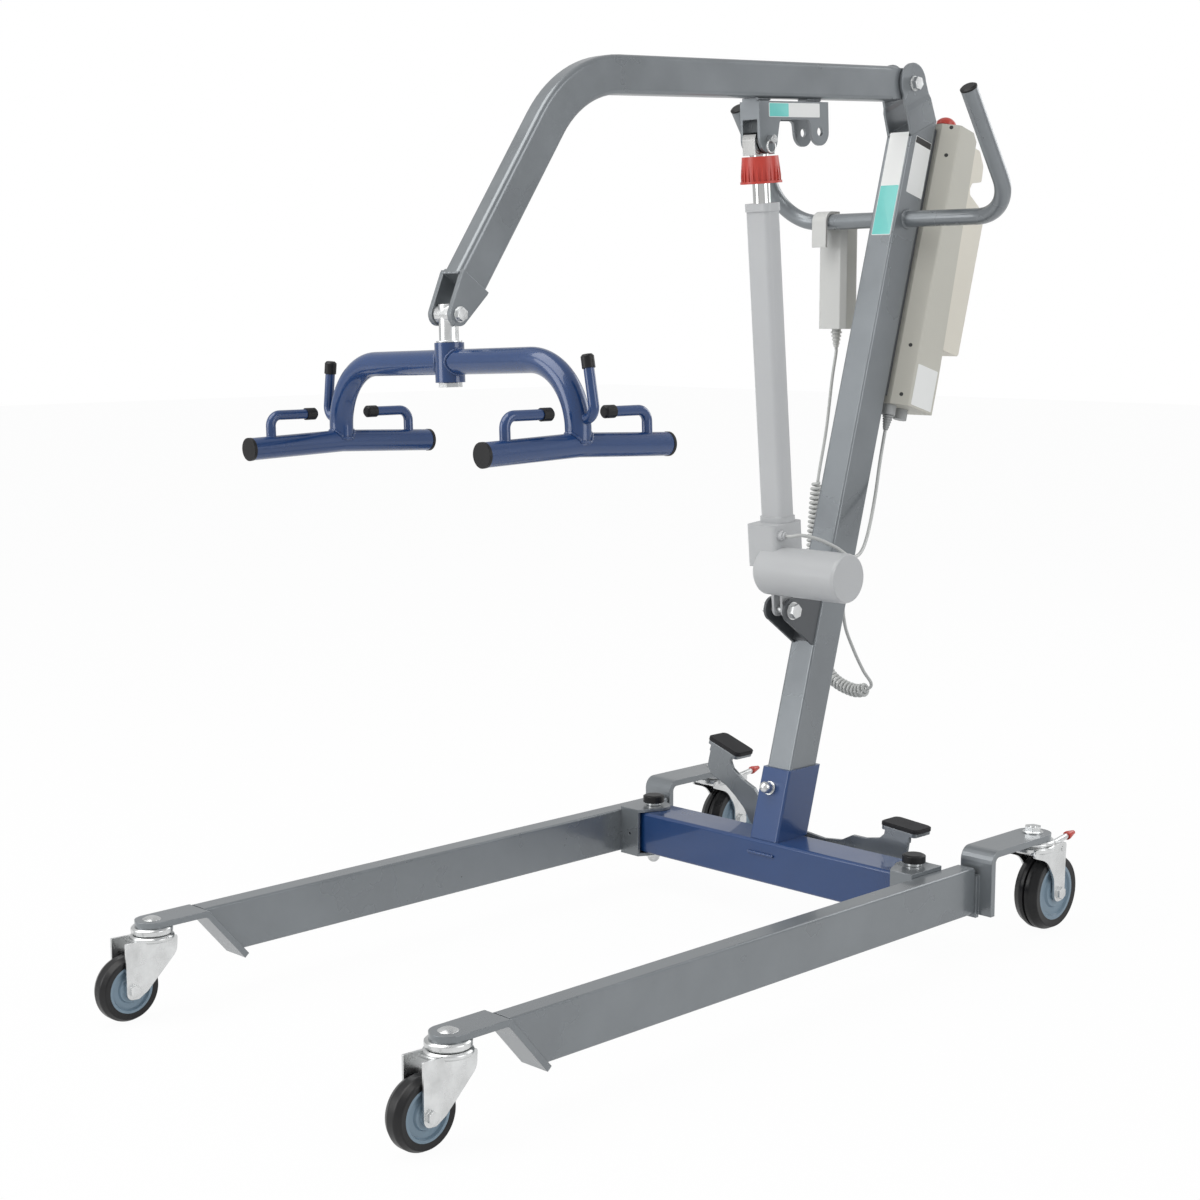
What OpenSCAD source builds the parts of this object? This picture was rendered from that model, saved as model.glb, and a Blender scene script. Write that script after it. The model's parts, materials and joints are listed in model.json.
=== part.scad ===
// Patient lift with a battery linear actuator, in millimetres, Z up, standing on its casters.
// The legs point along -Y, X runs across, and the model is symmetric about X = 0 but for small parts.

/* [Base] */
// Distance between the two leg pivots
pivot_span = 440; // [420:5:480]
// Leg pivot to the middle of its leg tube
leg_offset = 39; // [38:1:46]
// Underside of the crossbeam above the floor
beam_z = 53; // [50:1:60]
// Height of the crossbeam
beam_h = 56; // [50:1:62]
// Depth of the crossbeam
beam_d = 60; // [50:1:64]
// Wall of the crossbeam
beam_wall = 3; // [2:0.5:4]
// Crossbeam beyond each leg pivot
beam_over = 14; // [12:1:18]
// Radius of the leg pivot bolts
pivot_bolt_r = 6; // [5:0.5:7]
// Radius of the pivot knobs
knob_r = 14.5; // [13:0.5:18]

/* [Legs] */
// Width of a leg tube
leg_w = 27; // [24:1:30]
// Height of a leg tube
leg_h = 58; // [50:1:60]
// Wall of a leg tube
leg_wall = 2.5; // [2:0.5:4]
// Leg pivot to the front top edge of the leg tube
leg_front = 714; // [600:10:800]
// Leg pivot to the rear end of the leg tube
leg_rear = 54; // [50:1:60]
// How far the foot of the slanted front lies behind its top
leg_slant = 50; // [30:1:60]
// Plate thickness of the leg brackets
bracket_t = 4; // [3:0.5:5]
// Leg bracket ahead of the pivot
bracket_front = 38; // [37:1:44]
// Leg bracket behind the pivot
bracket_rear = 22; // [20:1:28]
// Angle that each leg opens by
open_angle = 10; // [6:1:12]

/* [Front casters] */
// Swivel axis ahead of the front top edge of the leg tube
tab_reach = 64; // [58:1:80]
// Width of the bent front tab
tab_w = 38; // [34:1:44]
// Thickness of the bent front tab
tab_t = 7; // [5:0.5:9]
// Front tab in from the middle of the leg tube
tab_in = 4; // [0:1:6]
// Radius of a front wheel
front_r = 37.5; // [34:0.5:40]
// Width of a front wheel
front_w = 24; // [20:1:27]
// Front axle off the swivel axis
front_trail = 35; // [28:1:38]

/* [Rear casters] */
// Leg pivot to the rear swivel axis
rear_reach = 182; // [170:1:215]
// Rear swivel axis out from the middle of the leg tube
rear_out = 11; // [5:1:14]
// Width of the rear arm
arm_w = 46; // [40:1:52]
// Thickness of the rear arm
arm_t = 8; // [6:0.5:10]
// Underside of the rear arm above the floor
arm_z = 123; // [119:1:130]
// Radius of a rear wheel
rear_r = 50; // [46:1:52]
// Width of a rear wheel
rear_w = 34; // [28:1:36]
// Rear axle off the swivel axis
rear_trail = 32; // [26:1:36]

/* [Pedal] */
// Pedal pivot to the left of the middle
pedal_off = 18; // [0:1:24]
// Height of the pedal pivot
pedal_z = 76; // [72:1:84]
// Pedal pivot to the middle of a foot pad
pedal_reach = 154; // [130:1:160]
// Foot pad above the pedal pivot
pedal_rise = 90; // [80:1:100]
// Tilt of the pedal with the legs closed
pedal_tilt = 11.4; // [9:0.1:13]
// Tie rod lugs behind the leg pivots
lug_back = 46; // [44:1:47]

/* [Mast] */
// Width of the mast tube
mast_w = 40; // [36:1:44]
// Depth of the mast tube
mast_d = 50; // [44:1:56]
// Wall of the mast tube
mast_wall = 2.5; // [2:0.5:4]
// Lean of the mast
mast_tilt = 15.6; // [10:0.1:20]
// Height of the mast up its own lean
mast_l = 1062; // [1050:1:1150]
// Height at which the middle of the mast crosses the leg pivots
mast_foot = 92.5; // [85:0.5:100]
// Slope of the cut mast top
mast_cut = 22; // [10:1:30]
// Length of the socket along the mast
socket_l = 90; // [80:1:120]
// Wall of the socket
socket_wall = 3; // [2:0.5:5]
// Plate thickness of the boom ears
ear_t = 3.5; // [3:0.5:5]
// Boom hinge ahead of the middle of the mast
hinge_fwd = 36; // [32:1:40]
// Boom hinge above the mast top
hinge_up = 48; // [46:1:60]

/* [Boom] */
// Width of the boom
boom_w = 27; // [24:1:32]
// Height of the boom
boom_h = 44; // [40:1:50]
// Wall of the boom
boom_wall = 2.5; // [2:0.5:4]
// Boom hinge to the corner of the boom
boom_l = 607; // [560:1:680]
// Downward lean of the boom at rest
boom_tilt = 3.1; // [0:0.1:5]
// Angle of the bend in the boom
boom_bend = 52.4; // [45:0.1:60]
// Radius of the bend in the boom
boom_r = 140; // [110:1:160]
// Corner of the boom to the hanger bolt
boom_drop = 321.5; // [300:0.5:340]
// Boom hinge to the actuator pin, along the boom
clevis_fwd = 290.3; // [280:0.1:300]
// Actuator pin below the middle of the boom
clevis_down = 71.9; // [66:0.1:76]

/* [Actuator] */
// Lower actuator pin ahead of the middle of the mast
low_pin_fwd = 78.5; // [76:0.5:84]
// Lower actuator pin up the mast
low_pin_s = 399.6; // [390:0.1:410]
// Diameter of the motor
motor_d = 62; // [54:1:64]
// Length of the motor
motor_l = 133; // [116:1:140]
// Width of the actuator tube
act_w = 38; // [34:1:42]
// Depth of the actuator tube
act_d = 27; // [26:1:34]
// Radius of the actuator rod
rod_r = 11; // [9:0.5:12]

/* [Spreader] */
// Radius of the arch tube
arch_r = 13.5; // [11:0.5:14]
// Half span of the arch
arch_half = 202; // [180:1:220]
// Bend radius of the arch
arch_bend = 70; // [55:1:80]
// Drop from the arch to the cross tubes
arch_drop = 86; // [84:1:110]
// Radius of the cross tubes
cross_r = 12.5; // [11:0.5:14]
// Half length of the cross tubes
cross_half = 123; // [112:1:140]
// Radius of the sling hooks
hook_r = 5.5; // [4.5:0.5:6]
// Turn of the spreader at rest
spreader_turn = -2; // [-10:1:10]
// Lean of the hanger and spreader to one side at rest
hang_lean = 2; // [0:0.5:3]

/* [Handle and controls] */
// Radius of the handle tube
handle_r = 10.5; // [9:0.5:12]
// Half width of the handle
handle_half = 186; // [170:1:200]
// Bend radius of the handle
handle_bend = 55; // [45:1:60]
// Length of each grip, from the bar
handle_rise = 180; // [150:1:200]
// Handle bar up the mast
handle_s = 938.5; // [925:0.5:945]
// Half width of the control box
box_half = 44; // [40:1:50]
// Depth of the control box
box_t = 76; // [66:1:84]
// Foot of the control box up the mast
box_low = 699; // [690:1:710]
// Top of the control box up the mast
box_high = 1080; // [1066:1:1090]
// Taper of the control box toward its top
box_taper = 2.4; // [0:0.1:4]
// Foot of the battery above the foot of the control box
batt_up = 90; // [80:1:100]
// Depth of the battery
batt_t = 37; // [30:1:46]
// Handset to the left of the middle
handset_x = 117; // [90:1:118]
// Width of the handset
handset_w = 48; // [42:1:52]
// Thickness of the handset
hand_t = 31; // [26:1:34]
// Handset below the handle bar
hand_drop = 144; // [130:1:160]

/* [Fits] */
// Radial clearance of a turning bolt or pin
pin_gap = 0.05; // [0.02:0.01:0.1]
// Gap between faces that move past each other
turn_gap = 0.3; // [0.2:0.05:0.5]
// Sideways play of the actuator eye on its pin, forward
eye_fore = 10.6; // [10:0.1:11]
// Sideways play of the actuator eye on its pin, rearward
eye_aft = 6.5; // [6:0.1:7]
// Play of the actuator eye on its pin, along the actuator
slot_play = 1.3; // [1.2:0.1:1.6]

/* [Hidden] */
$fn = 48;
eps = 0.01;
seam_step = 0.05;
seam_lap = 0.5;

// Derived places
pivot_x = pivot_span / 2;
leg_x = pivot_x + leg_offset;
beam_top = beam_z + beam_h;
leg_z = beam_top - leg_h;
plate_z = beam_top + turn_gap;
plate_top = plate_z + bracket_t;
foot_z = beam_z - turn_gap - bracket_t;
front_x = leg_x - tab_in;
front_y = -leg_front - tab_reach;
rear_x = leg_x + rear_out;
rear_y = rear_reach;
pedal_y = leg_rear + 6;
lug_r = 4;
lug_collar = 3;
collar_r = 6;
lug_z = beam_z + 24;
rocker_pin = lug_back * sin(open_angle) / (2 * sin(pedal_tilt));

// Mast frame: p is the depth off its middle, s runs up its length
mast_y0 = -mast_foot * tan(mast_tilt);
function mast_y(p, s) = mast_y0 + p * cos(mast_tilt) + s * sin(mast_tilt);
function mast_z(p, s) = s * cos(mast_tilt) - p * sin(mast_tilt);
hinge_y = mast_y(-hinge_fwd, mast_l + hinge_up);
hinge_z = mast_z(-hinge_fwd, mast_l + hinge_up);
low_y = mast_y(-low_pin_fwd, low_pin_s);
low_z = mast_z(-low_pin_fwd, low_pin_s);
clevis_y = hinge_y - clevis_fwd * cos(boom_tilt) + clevis_down * sin(boom_tilt);
clevis_z = hinge_z - clevis_fwd * sin(boom_tilt) - clevis_down * cos(boom_tilt);
act_l = norm([clevis_y - low_y, clevis_z - low_z]);
act_tilt = atan2(low_y - clevis_y, clevis_z - low_z);
drop_a = boom_tilt + boom_bend;
corner_y = hinge_y - boom_l * cos(boom_tilt);
corner_z = hinge_z - boom_l * sin(boom_tilt);
hang_y = corner_y - boom_drop * cos(drop_a);
hang_z = corner_z - boom_drop * sin(drop_a);

// Battery outline: depth behind the mast and height up it
batt_low = box_low + batt_up;
batt_out = box_t + batt_t;
function box_back(s) = box_t - (s - box_low) * tan(box_taper);
batt_pts = [[box_back(batt_low) + turn_gap, batt_low], [batt_out - 3, batt_low],
    [batt_out, batt_low + 3], [batt_out, batt_low + 198], [box_back(batt_low + 214) + 10, batt_low + 213],
    [box_back(batt_low + 214) + 7, batt_low + 221], [box_back(batt_low + 214) + 10, batt_low + 229],
    [batt_out - 20, batt_low + 237], [batt_out - 22, batt_low + 258], [batt_out - 36, batt_low + 275],
    [box_back(batt_low + 275) + turn_gap, batt_low + 275]];
batt_line = rounded(batt_pts, [0, 0, 0, 12, 3, 3, 3, 4, 6, 5, 0]);

// Middle of the whole length, where the origin sits
y_back = max([for (p = batt_line) mast_y(mast_d / 2 + p[0], p[1])]);
y_mid = (y_back + front_y - front_trail - front_r) / 2;

// Frames and profiles
module placed() translate([0, -y_mid, 0]) children();
module side(s) mirror([s < 0 ? 1 : 0, 0, 0]) children();
module in_mast() translate([0, mast_y0, 0]) rotate([-mast_tilt, 0, 0]) children();
module in_cut() translate([0, mast_y(0, mast_l), mast_z(0, mast_l)]) rotate([mast_cut, 0, 0]) children();
module in_boom() translate([0, hinge_y, hinge_z]) rotate([boom_tilt, 0, 0]) children();
module in_actuator() translate([0, low_y, low_z]) rotate([act_tilt, 0, 0]) children();
module x_plate(x0, x1) translate([x0, 0, 0]) rotate([90, 0, 90]) linear_extrude(x1 - x0) children();
module y_plate(y0, y1) translate([0, y1, 0]) rotate([90, 0, 0]) linear_extrude(y1 - y0) children();
module x_rod(r, x0, x1) translate([x0, 0, 0]) rotate([0, 90, 0]) cylinder(r = r, h = x1 - x0);
module y_rod(r, y0, y1) translate([0, y0, 0]) rotate([-90, 0, 0]) cylinder(r = r, h = y1 - y0);
module z_rod(r, z0, z1) translate([0, 0, z0]) cylinder(r = r, h = z1 - z0);
module hex(r, z0, z1) translate([0, 0, z0]) cylinder(r = r, h = z1 - z0, $fn = 6);
module rrect(w, h, r) {
    square([w - 2 * r, h], center = true);
    square([w, h - 2 * r], center = true);
    for (x = [-1, 1], y = [-1, 1]) translate([x * (w / 2 - r), y * (h / 2 - r)]) circle(r, $fn = 24);
}
module tube2d(w, h, wall, r) difference() {
    rrect(w, h, r);
    rrect(w - 2 * wall, h - 2 * wall, max(r - wall, 0.5));
}
function unit(v) = v / norm(v);
function corner(a, b, c, r, n) = let(u = unit(a - b), v = unit(c - b), h = acos(u * v) / 2,
    o = b + unit(u + v) * r / sin(h), t = r / tan(h), s = b + u * t - o, e = b + v * t - o,
    a0 = atan2(s[1], s[0]), d = atan2(e[1], e[0]) - a0, w = d > 180 ? d - 360 : d < -180 ? d + 360 : d)
    [for (i = [0:n]) o + r * [cos(a0 + w * i / n), sin(a0 + w * i / n)]];
function rounded(p, r, n = 5) = let(k = len(p)) [for (i = [0:k - 1])
    each r[i] > 0 ? corner(p[(i + k - 1) % k], p[i], p[(i + 1) % k], r[i], n) : [p[i]]];

// Tube along +X from the origin, bent toward +Y, then straight
module bent(r, a, len1, bend, len2) {
    lap = a == 90 ? 0 : seam_lap;
    x_rod(r, 0, len1 + lap);
    translate([len1, bend, 0]) rotate([0, 0, -90]) rotate_extrude(angle = a) translate([bend, 0])
        circle(a == 90 ? r : r - seam_step);
    translate([len1 + bend * sin(a), bend - bend * cos(a), 0]) rotate([0, 0, a]) x_rod(r, -lap, len2);
}

// Crossbeam with its pivot sleeves and the pedal boss
sleeve_r = pivot_bolt_r + 4;
pedal_bolt_r = 6;
boss_r = 9;
module crossbeam() color("royalblue") placed() difference() {
    union() {
        translate([0, 0, beam_z + beam_h / 2]) rotate([0, 90, 0])
            linear_extrude(pivot_span + 2 * beam_over, center = true) tube2d(beam_h, beam_d, beam_wall, 4);
        for (s = [-1, 1]) translate([s * pivot_x, 0, 0]) z_rod(sleeve_r, beam_z + 1, beam_top - 1);
        translate([-pedal_off, 0, pedal_z]) y_rod(boss_r, beam_d / 2 - 1, pedal_y - turn_gap);
    }
    for (s = [-1, 1]) translate([s * pivot_x, 0, 0]) z_rod(pivot_bolt_r + pin_gap, 0, beam_top + 1);
    translate([-pedal_off, 0, pedal_z]) y_rod(pedal_bolt_r + pin_gap, beam_d / 2 + 2, pedal_y + 1);
}

// Socket that the mast stands in, cut flat on the beam
mast_gap = 0.1;
socket_d = mast_d / 2 + mast_gap + socket_wall + 2;
socket_top = beam_top / cos(mast_tilt) + socket_l;
clamp_s = socket_top - 31;
clamp_x = -4;
clamp_r = 4;
module below(z) translate([-200, -400, z - 200]) cube([400, 800, 200]);
module mast_socket() color("royalblue") placed() difference() {
    in_mast() difference() {
        translate([0, 0, 60]) linear_extrude(socket_top - 40)
            rrect(mast_w + 2 * (mast_gap + socket_wall), 2 * socket_d, 3);
        translate([0, 0, 50]) linear_extrude(socket_top)
            rrect(mast_w + 2 * mast_gap, mast_d + 2 * mast_gap, 3);
        translate([clamp_x, 0, clamp_s]) y_rod(clamp_r + pin_gap, -80, 0);
    }
    below(beam_top);
    translate([-200, -400, beam_top + socket_l]) cube([400, 800, 200]);
}

// Mast tube, with the handle through it
module mast() color("slategray") placed() difference() {
    in_mast() difference() {
        translate([0, 0, 60]) linear_extrude(mast_l) tube2d(mast_w, mast_d, mast_wall, 3);
        translate([clamp_x, 0, clamp_s]) y_rod(clamp_r + pin_gap, -80, 0);
        translate([0, 0, handle_s]) x_rod(handle_r + mast_gap, -mast_w, mast_w);
    }
    below(beam_top);
    in_cut() translate([-2 * mast_w, -2 * mast_d, 0]) cube(4 * mast_d);
}

// Jogged ears that carry the boom bolt
hinge_r = 6;
ear_r = 26.5;
ear_jog = 31;
ear_in = boom_w / 2 + 1.2;
cut_y = (hinge_y - mast_y(0, mast_l)) * cos(mast_cut) + (hinge_z - mast_z(0, mast_l)) * sin(mast_cut);
cut_z = (hinge_z - mast_z(0, mast_l)) * cos(mast_cut) - (hinge_y - mast_y(0, mast_l)) * sin(mast_cut);
cut_half = mast_d / 2 / cos(mast_cut + mast_tilt) - 3;
module ear() difference() {
    intersection() {
        y_plate(-60, 60) polygon(rounded([[mast_w / 2 - ear_t, 0], [mast_w / 2, 0],
            [mast_w / 2, ear_jog], [ear_in + ear_t, ear_jog + 7], [ear_in + ear_t, 150], [ear_in, 150],
            [ear_in, ear_jog + 7], [mast_w / 2 - ear_t, ear_jog]], [0, 0, 5, 5, 0, 0, 5, 5]));
        x_plate(0, 60) {
            polygon([[-cut_half, 0], [cut_half, 0], [cut_y + ear_r - 0.6, cut_z - 6], [cut_y, cut_z],
                [cut_y - ear_r + 0.6, cut_z - 6]]);
            translate([cut_y, cut_z]) circle(ear_r);
        }
    }
    translate([0, cut_y, cut_z]) x_rod(hinge_r + pin_gap, -60, 60);
}
module mast_ears() color("slategray") placed() in_cut() {
    for (s = [-1, 1]) side(s) ear();
    translate([-mast_w / 2 + ear_t - eps, -cut_half, 0])
        cube([mast_w - 2 * ear_t + 2 * eps, 2 * cut_half, 4]);
}

// Bracket on the mast that holds the foot of the actuator
foot_r = 5;
foot_in = 13.5;
foot_t = 4;
module mast_bracket() color("dimgray") placed() in_mast() difference() {
    union() {
        for (s = [-1, 1]) side(s) x_plate(foot_in, foot_in + foot_t) {
            translate([-low_pin_fwd, low_pin_s]) circle(16);
            polygon([[-low_pin_fwd - 7.5, low_pin_s + 14.1], [-low_pin_fwd + 24, low_pin_s + 25.5],
                [-mast_d / 2, low_pin_s + 41], [-mast_d / 2, low_pin_s - 36],
                [-low_pin_fwd - 8, low_pin_s - 13.8]]);
        }
        translate([-foot_in - eps, -mast_d / 2 - foot_t, low_pin_s - 32])
            cube([2 * foot_in + 2 * eps, foot_t, 66]);
    }
    translate([0, -low_pin_fwd, low_pin_s]) x_rod(foot_r + pin_gap, -60, 60);
}

// Fixed bolts: leg pivots, boom hinge, actuator foot, socket screw and pedal pivot
knob_z = plate_top + turn_gap + 4;
module z_bolt(r, z0, z1, head, h) {
    z_rod(r, z0, z1);
    hex(head, z1 - eps, z1 + h);
}
module bolts() color("silver") placed() {
    for (s = [-1, 1]) translate([s * pivot_x, 0, 0]) {
        z_rod(pivot_bolt_r, foot_z - 6, knob_z);
        z_rod(sleeve_r, plate_top + turn_gap, knob_z);
        hex(pivot_bolt_r * 1.8, foot_z - turn_gap - 7, foot_z - turn_gap);
        translate([0, 0, foot_z - turn_gap - 7]) intersection() {
            sphere(pivot_bolt_r * 1.4);
            translate([-20, -20, -20]) cube([40, 40, 20 + eps]);
        }
    }
    in_cut() translate([0, cut_y, cut_z]) {
        x_rod(hinge_r, -ear_in - ear_t - 8, ear_in + ear_t + 8);
        for (s = [-1, 1]) side(s) {
            x_rod(hinge_r * 1.6, ear_in + ear_t, ear_in + ear_t + 2);
            rotate([0, 90, 0]) hex(hinge_r * 1.45, ear_in + ear_t + 2, ear_in + ear_t + 9);
        }
    }
    in_mast() translate([0, -low_pin_fwd, low_pin_s]) {
        x_rod(foot_r, -foot_in - foot_t - 7, foot_in + foot_t + 7);
        for (s = [-1, 1]) side(s) {
            x_rod(foot_r * 2.3, foot_in + foot_t, foot_in + foot_t + 1.5);
            rotate([0, 90, 0]) hex(foot_r * 1.9, foot_in + foot_t + 1.5, foot_in + foot_t + 8);
        }
    }
    in_mast() translate([clamp_x, 0, clamp_s]) {
        y_rod(clamp_r, -socket_d - 3, -mast_d / 2 + 10);
        y_rod(9, -socket_d - 2, -socket_d);
        y_rod(7.5, -socket_d - 10, -socket_d - 2);
        translate([0, -socket_d - 10, 0]) sphere(7.5);
    }
    translate([-pedal_off, 0, pedal_z]) {
        y_rod(pedal_bolt_r, beam_d / 2 + 3, pedal_y + 6);
        rotate([-90, 0, 0]) hex(10, pedal_y + 5 + turn_gap, pedal_y + 12);
    }
}
module pivot_knobs() color("black") placed() for (s = [-1, 1]) translate([s * pivot_x, 0, knob_z])
    rotate_extrude() polygon(rounded([[0, 0], [knob_r, 0], [knob_r, 8.5], [knob_r - 3, 10], [0, 10]],
        [0, 0.8, 1, 1, 0]));

// Push handle, a bent tube through the mast
handle_y = mast_y(0, handle_s);
handle_z = mast_z(0, handle_s);
handle_a = 124.8;
handle_wall = 2;
module handle_side(r, more)
    bent(r, 90, handle_half - handle_bend, handle_bend, handle_rise - handle_bend + more);
module handle() color("slategray") placed() translate([0, handle_y, handle_z]) rotate([handle_a, 0, 0])
    difference() {
        union() {
            for (s = [-1, 1]) side(s) {
                handle_side(handle_r, 0);
                x_rod(handle_r + 1.8, mast_w / 2, mast_w / 2 + 2.5);
            }
        }
        for (s = [-1, 1]) side(s) handle_side(handle_r - handle_wall, 1);
    }
module handle_caps() color("black") placed() translate([0, handle_y, handle_z]) rotate([handle_a, 0, 0])
    for (s = [-1, 1]) side(s) translate([handle_half, handle_rise, 0]) rotate([-90, 0, 0]) {
        z_rod(handle_r + 0.4, 0, 2);
        translate([0, 0, 2]) cylinder(r1 = handle_r + 0.4, r2 = handle_r - 2, h = 1.6);
        z_rod(handle_r - handle_wall, -10, eps);
    }

// Rail, control box, plugs and stop button behind the mast
rail_t = 9;
module behind() in_mast() translate([0, mast_d / 2, 0]) children();
module box_rail() color("dimgray") placed() behind()
    translate([-15, 0, box_low + 10]) cube([30, rail_t, box_high - box_low - 19]);
stop_x = 8;
stop_t = 35;
module control_box() color("wheat") placed() behind() difference() {
    union() {
        translate([0, 0, box_low]) linear_extrude(box_high - box_low) polygon(rounded([[-22, rail_t],
            [22, rail_t], [box_half, rail_t + 12], [box_half, box_t], [-box_half, box_t],
            [-box_half, rail_t + 12]], [2, 2, 4, 3, 3, 4]));
        translate([stop_x, stop_t, 0]) z_rod(14.5, box_high - 1, box_high + 2);
    }
    translate([-box_half - 1, box_t, box_low]) rotate([box_taper, 0, 0]) translate([0, 0, -20])
        cube([2 * box_half + 2, 80, box_high - box_low + 60]);
    translate([-box_half - 1, box_back(box_high), box_high - 9]) rotate([45, 0, 0])
        cube([2 * box_half + 2, 40, 40]);
    translate([stop_x, stop_t, 0]) z_rod(6 + pin_gap, box_high - 14, box_high + 3);
}
stem_r = 3.5;
module stop_stem() color("dimgray") placed() behind() translate([stop_x, stop_t, 0]) {
    z_rod(6, box_high - 8, box_high + 6 - turn_gap);
    z_rod(stem_r, box_high - 8, box_high + 11);
}
module estop() color("red") placed() behind() translate([stop_x, stop_t, 0]) difference() {
    translate([0, 0, box_high + 6]) rotate_extrude() intersection() {
        translate([0, -4]) circle(15.5);
        square([13, 16]);
    }
    z_rod(stem_r + pin_gap, box_high, box_high + 11 + turn_gap);
}
plug_l = 14;
relief_l = 20;
wire_r = 2.2;
cable_r = 2.25;
plug_at = [[14, 20, cable_r], [-12, 22, wire_r], [14, 46, 0]];
module plugs() color("silver") placed() behind() for (q = plug_at)
    translate([q[0], q[1], box_low - plug_l]) {
    z_rod(9, 0, plug_l);
    if (q[2] > 0) {
        translate([0, 0, -relief_l]) cylinder(r1 = q[2] + 1, r2 = 6, h = relief_l + eps);
        for (k = [0:4]) z_rod(q[2] + 2 + k * 0.7, -relief_l + 3 + k * 3.5, -relief_l + 4.8 + k * 3.5);
    }
}
module battery() color("antiquewhite") placed() behind() rotate([90, 0, 90])
    linear_extrude(2 * box_half - 8, center = true) polygon(batt_line);

// Handset that hooks over the handle bar, with two press buttons on its rear
hand_front = handle_r + 0.8;
hand_low = handle_z - hand_drop;
hand_top = handle_z + 6;
strap_r = handle_r + turn_gap;
strap_t = 3.5;
strap_w = 24;
hand_relief = 25;
button_r = 8;
button_z = [hand_top - 40, hand_top - 66];
module in_hand() translate([-handset_x, handle_y, 0]) children();
module handset() color("gainsboro") placed() in_hand() difference() {
    union() {
        translate([0, 0, hand_low]) linear_extrude(hand_top - hand_low) polygon(rounded([
            [-handset_w / 2 + 7, hand_front], [handset_w / 2 - 7, hand_front],
            [handset_w / 2, hand_front + 7], [handset_w / 2, hand_front + hand_t],
            [-handset_w / 2, hand_front + hand_t],
            [-handset_w / 2, hand_front + 7]], [3, 3, 3, 5, 5, 3]));
        x_plate(-strap_w / 2, strap_w / 2) difference() {
            union() {
                translate([0, handle_z]) circle(strap_r + strap_t);
                translate([-strap_r - strap_t, handle_z - 34]) square([strap_t, 34]);
                translate([0, handle_z - 6]) square([hand_front + 4, 6 + strap_r + strap_t]);
            }
            translate([0, handle_z]) circle(strap_r);
            translate([-strap_r, handle_z - 60]) square([2 * strap_r, 60]);
        }
        translate([0, hand_front + hand_t / 2, hand_low - hand_relief])
            cylinder(r1 = wire_r + 1.2, r2 = 6.5, h = hand_relief + eps);
        translate([0, hand_front + hand_t / 2, 0]) for (k = [0:3])
            z_rod(wire_r + 2.6 + k, hand_low - hand_relief + 4 + k * 5,
                hand_low - hand_relief + 6.5 + k * 5);
    }
    for (z = button_z) translate([0, 0, z])
        y_rod(button_r + turn_gap, hand_front + hand_t - 6, hand_front + 80);
}
module button(z) in_hand() translate([0, 0, z]) {
    y_rod(button_r, hand_front + hand_t - 4, hand_front + hand_t + 1);
    translate([0, hand_front + hand_t + 1, 0]) rotate([-90, 0, 0])
        cylinder(r1 = button_r, r2 = button_r - 1, h = 1);
}
module button_up() color("dimgray") placed() button(button_z[0]);
module button_down() color("dimgray") placed() button(button_z[1]);

// Smooth route through points, evened out by length
function spline(p, i, t) = let(n = len(p), a = p[max(i - 1, 0)], b = p[i], c = p[min(i + 1, n - 1)],
    d = p[min(i + 2, n - 1)]) 0.5 * (2 * b + (c - a) * t + (2 * a - 5 * b + 4 * c - d) * t * t
    + (3 * b - a - 3 * c + d) * t * t * t);
function route(p, k) = [for (i = [0:len(p) - 2]) for (j = [0:k - 1]) spline(p, i, j / k), p[len(p) - 1]];
function lengths(q) = [for (i = 0, l = 0; i < len(q); l = l + (i < len(q) - 1 ? norm(q[i + 1] - q[i]) : 0),
    i = i + 1) l];
function find(l, x, a, b) = b - a < 2 ? a : let(m = floor((a + b) / 2))
    l[m] > x ? find(l, x, a, m) : find(l, x, m, b);
function along(q, l, x) = let(i = find(l, min(max(x, 0), l[len(l) - 1] - eps), 0, len(l) - 1))
    q[i] + (q[i + 1] - q[i]) * (x - l[i]) / (l[i + 1] - l[i]);
function square_to(v, t) = unit(v - t * (v * t));
// Tube of radius r with rings of n points at the centres c, started from the directions e
module swept(c, e, r, n) {
    k = len(c);
    t = [for (i = [0:k - 1]) unit(c[min(i + 1, k - 1)] - c[max(i - 1, 0)])];
    u = [for (i = [0:k - 1]) square_to(e[i], t[i])];
    polyhedron([for (i = [0:k - 1]) let(v = cross(t[i], u[i])) for (j = [0:n - 1])
        c[i] + r * (u[i] * cos(360 * j / n) + v * sin(360 * j / n))],
        concat([[for (j = [n - 1:-1:0]) j]], [for (i = [0:k - 2]) for (j = [0:n - 1]) let(a = i * n + j,
            b = i * n + (j + 1) % n) each [[a, b, b + n], [a, b + n, a + n]]],
            [[for (j = [0:n - 1]) (k - 1) * n + j]]), convexity = 10);
}

// Cable from the box to the motor
function plug_end(q) = [q[0], mast_y(mast_d / 2 + q[1], box_low - plug_l - relief_l),
    mast_z(mast_d / 2 + q[1], box_low - plug_l - relief_l)];
down = [0, -sin(mast_tilt), -cos(mast_tilt)];
gland_v = -23;
gland_w = 102;
gland_x = 33;
gland_at = [gland_x, low_y + gland_v * cos(act_tilt) - gland_w * sin(act_tilt),
    low_z + gland_v * sin(act_tilt) + gland_w * cos(act_tilt)];
cable_mid = [[20, 178, 586], [32, 154, 545], [48, 122, 507], [66, 88, 486], [80, 58, 478], [84, 36, 479],
    [77, 18, 491], [64, -2, 502], [51, -18, 507]];
cable_route = concat([plug_end(plug_at[0]), plug_end(plug_at[0]) + 6 * down], cable_mid,
    [gland_at + [8, 0, 0], gland_at + [turn_gap, 0, 0]]);
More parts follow.
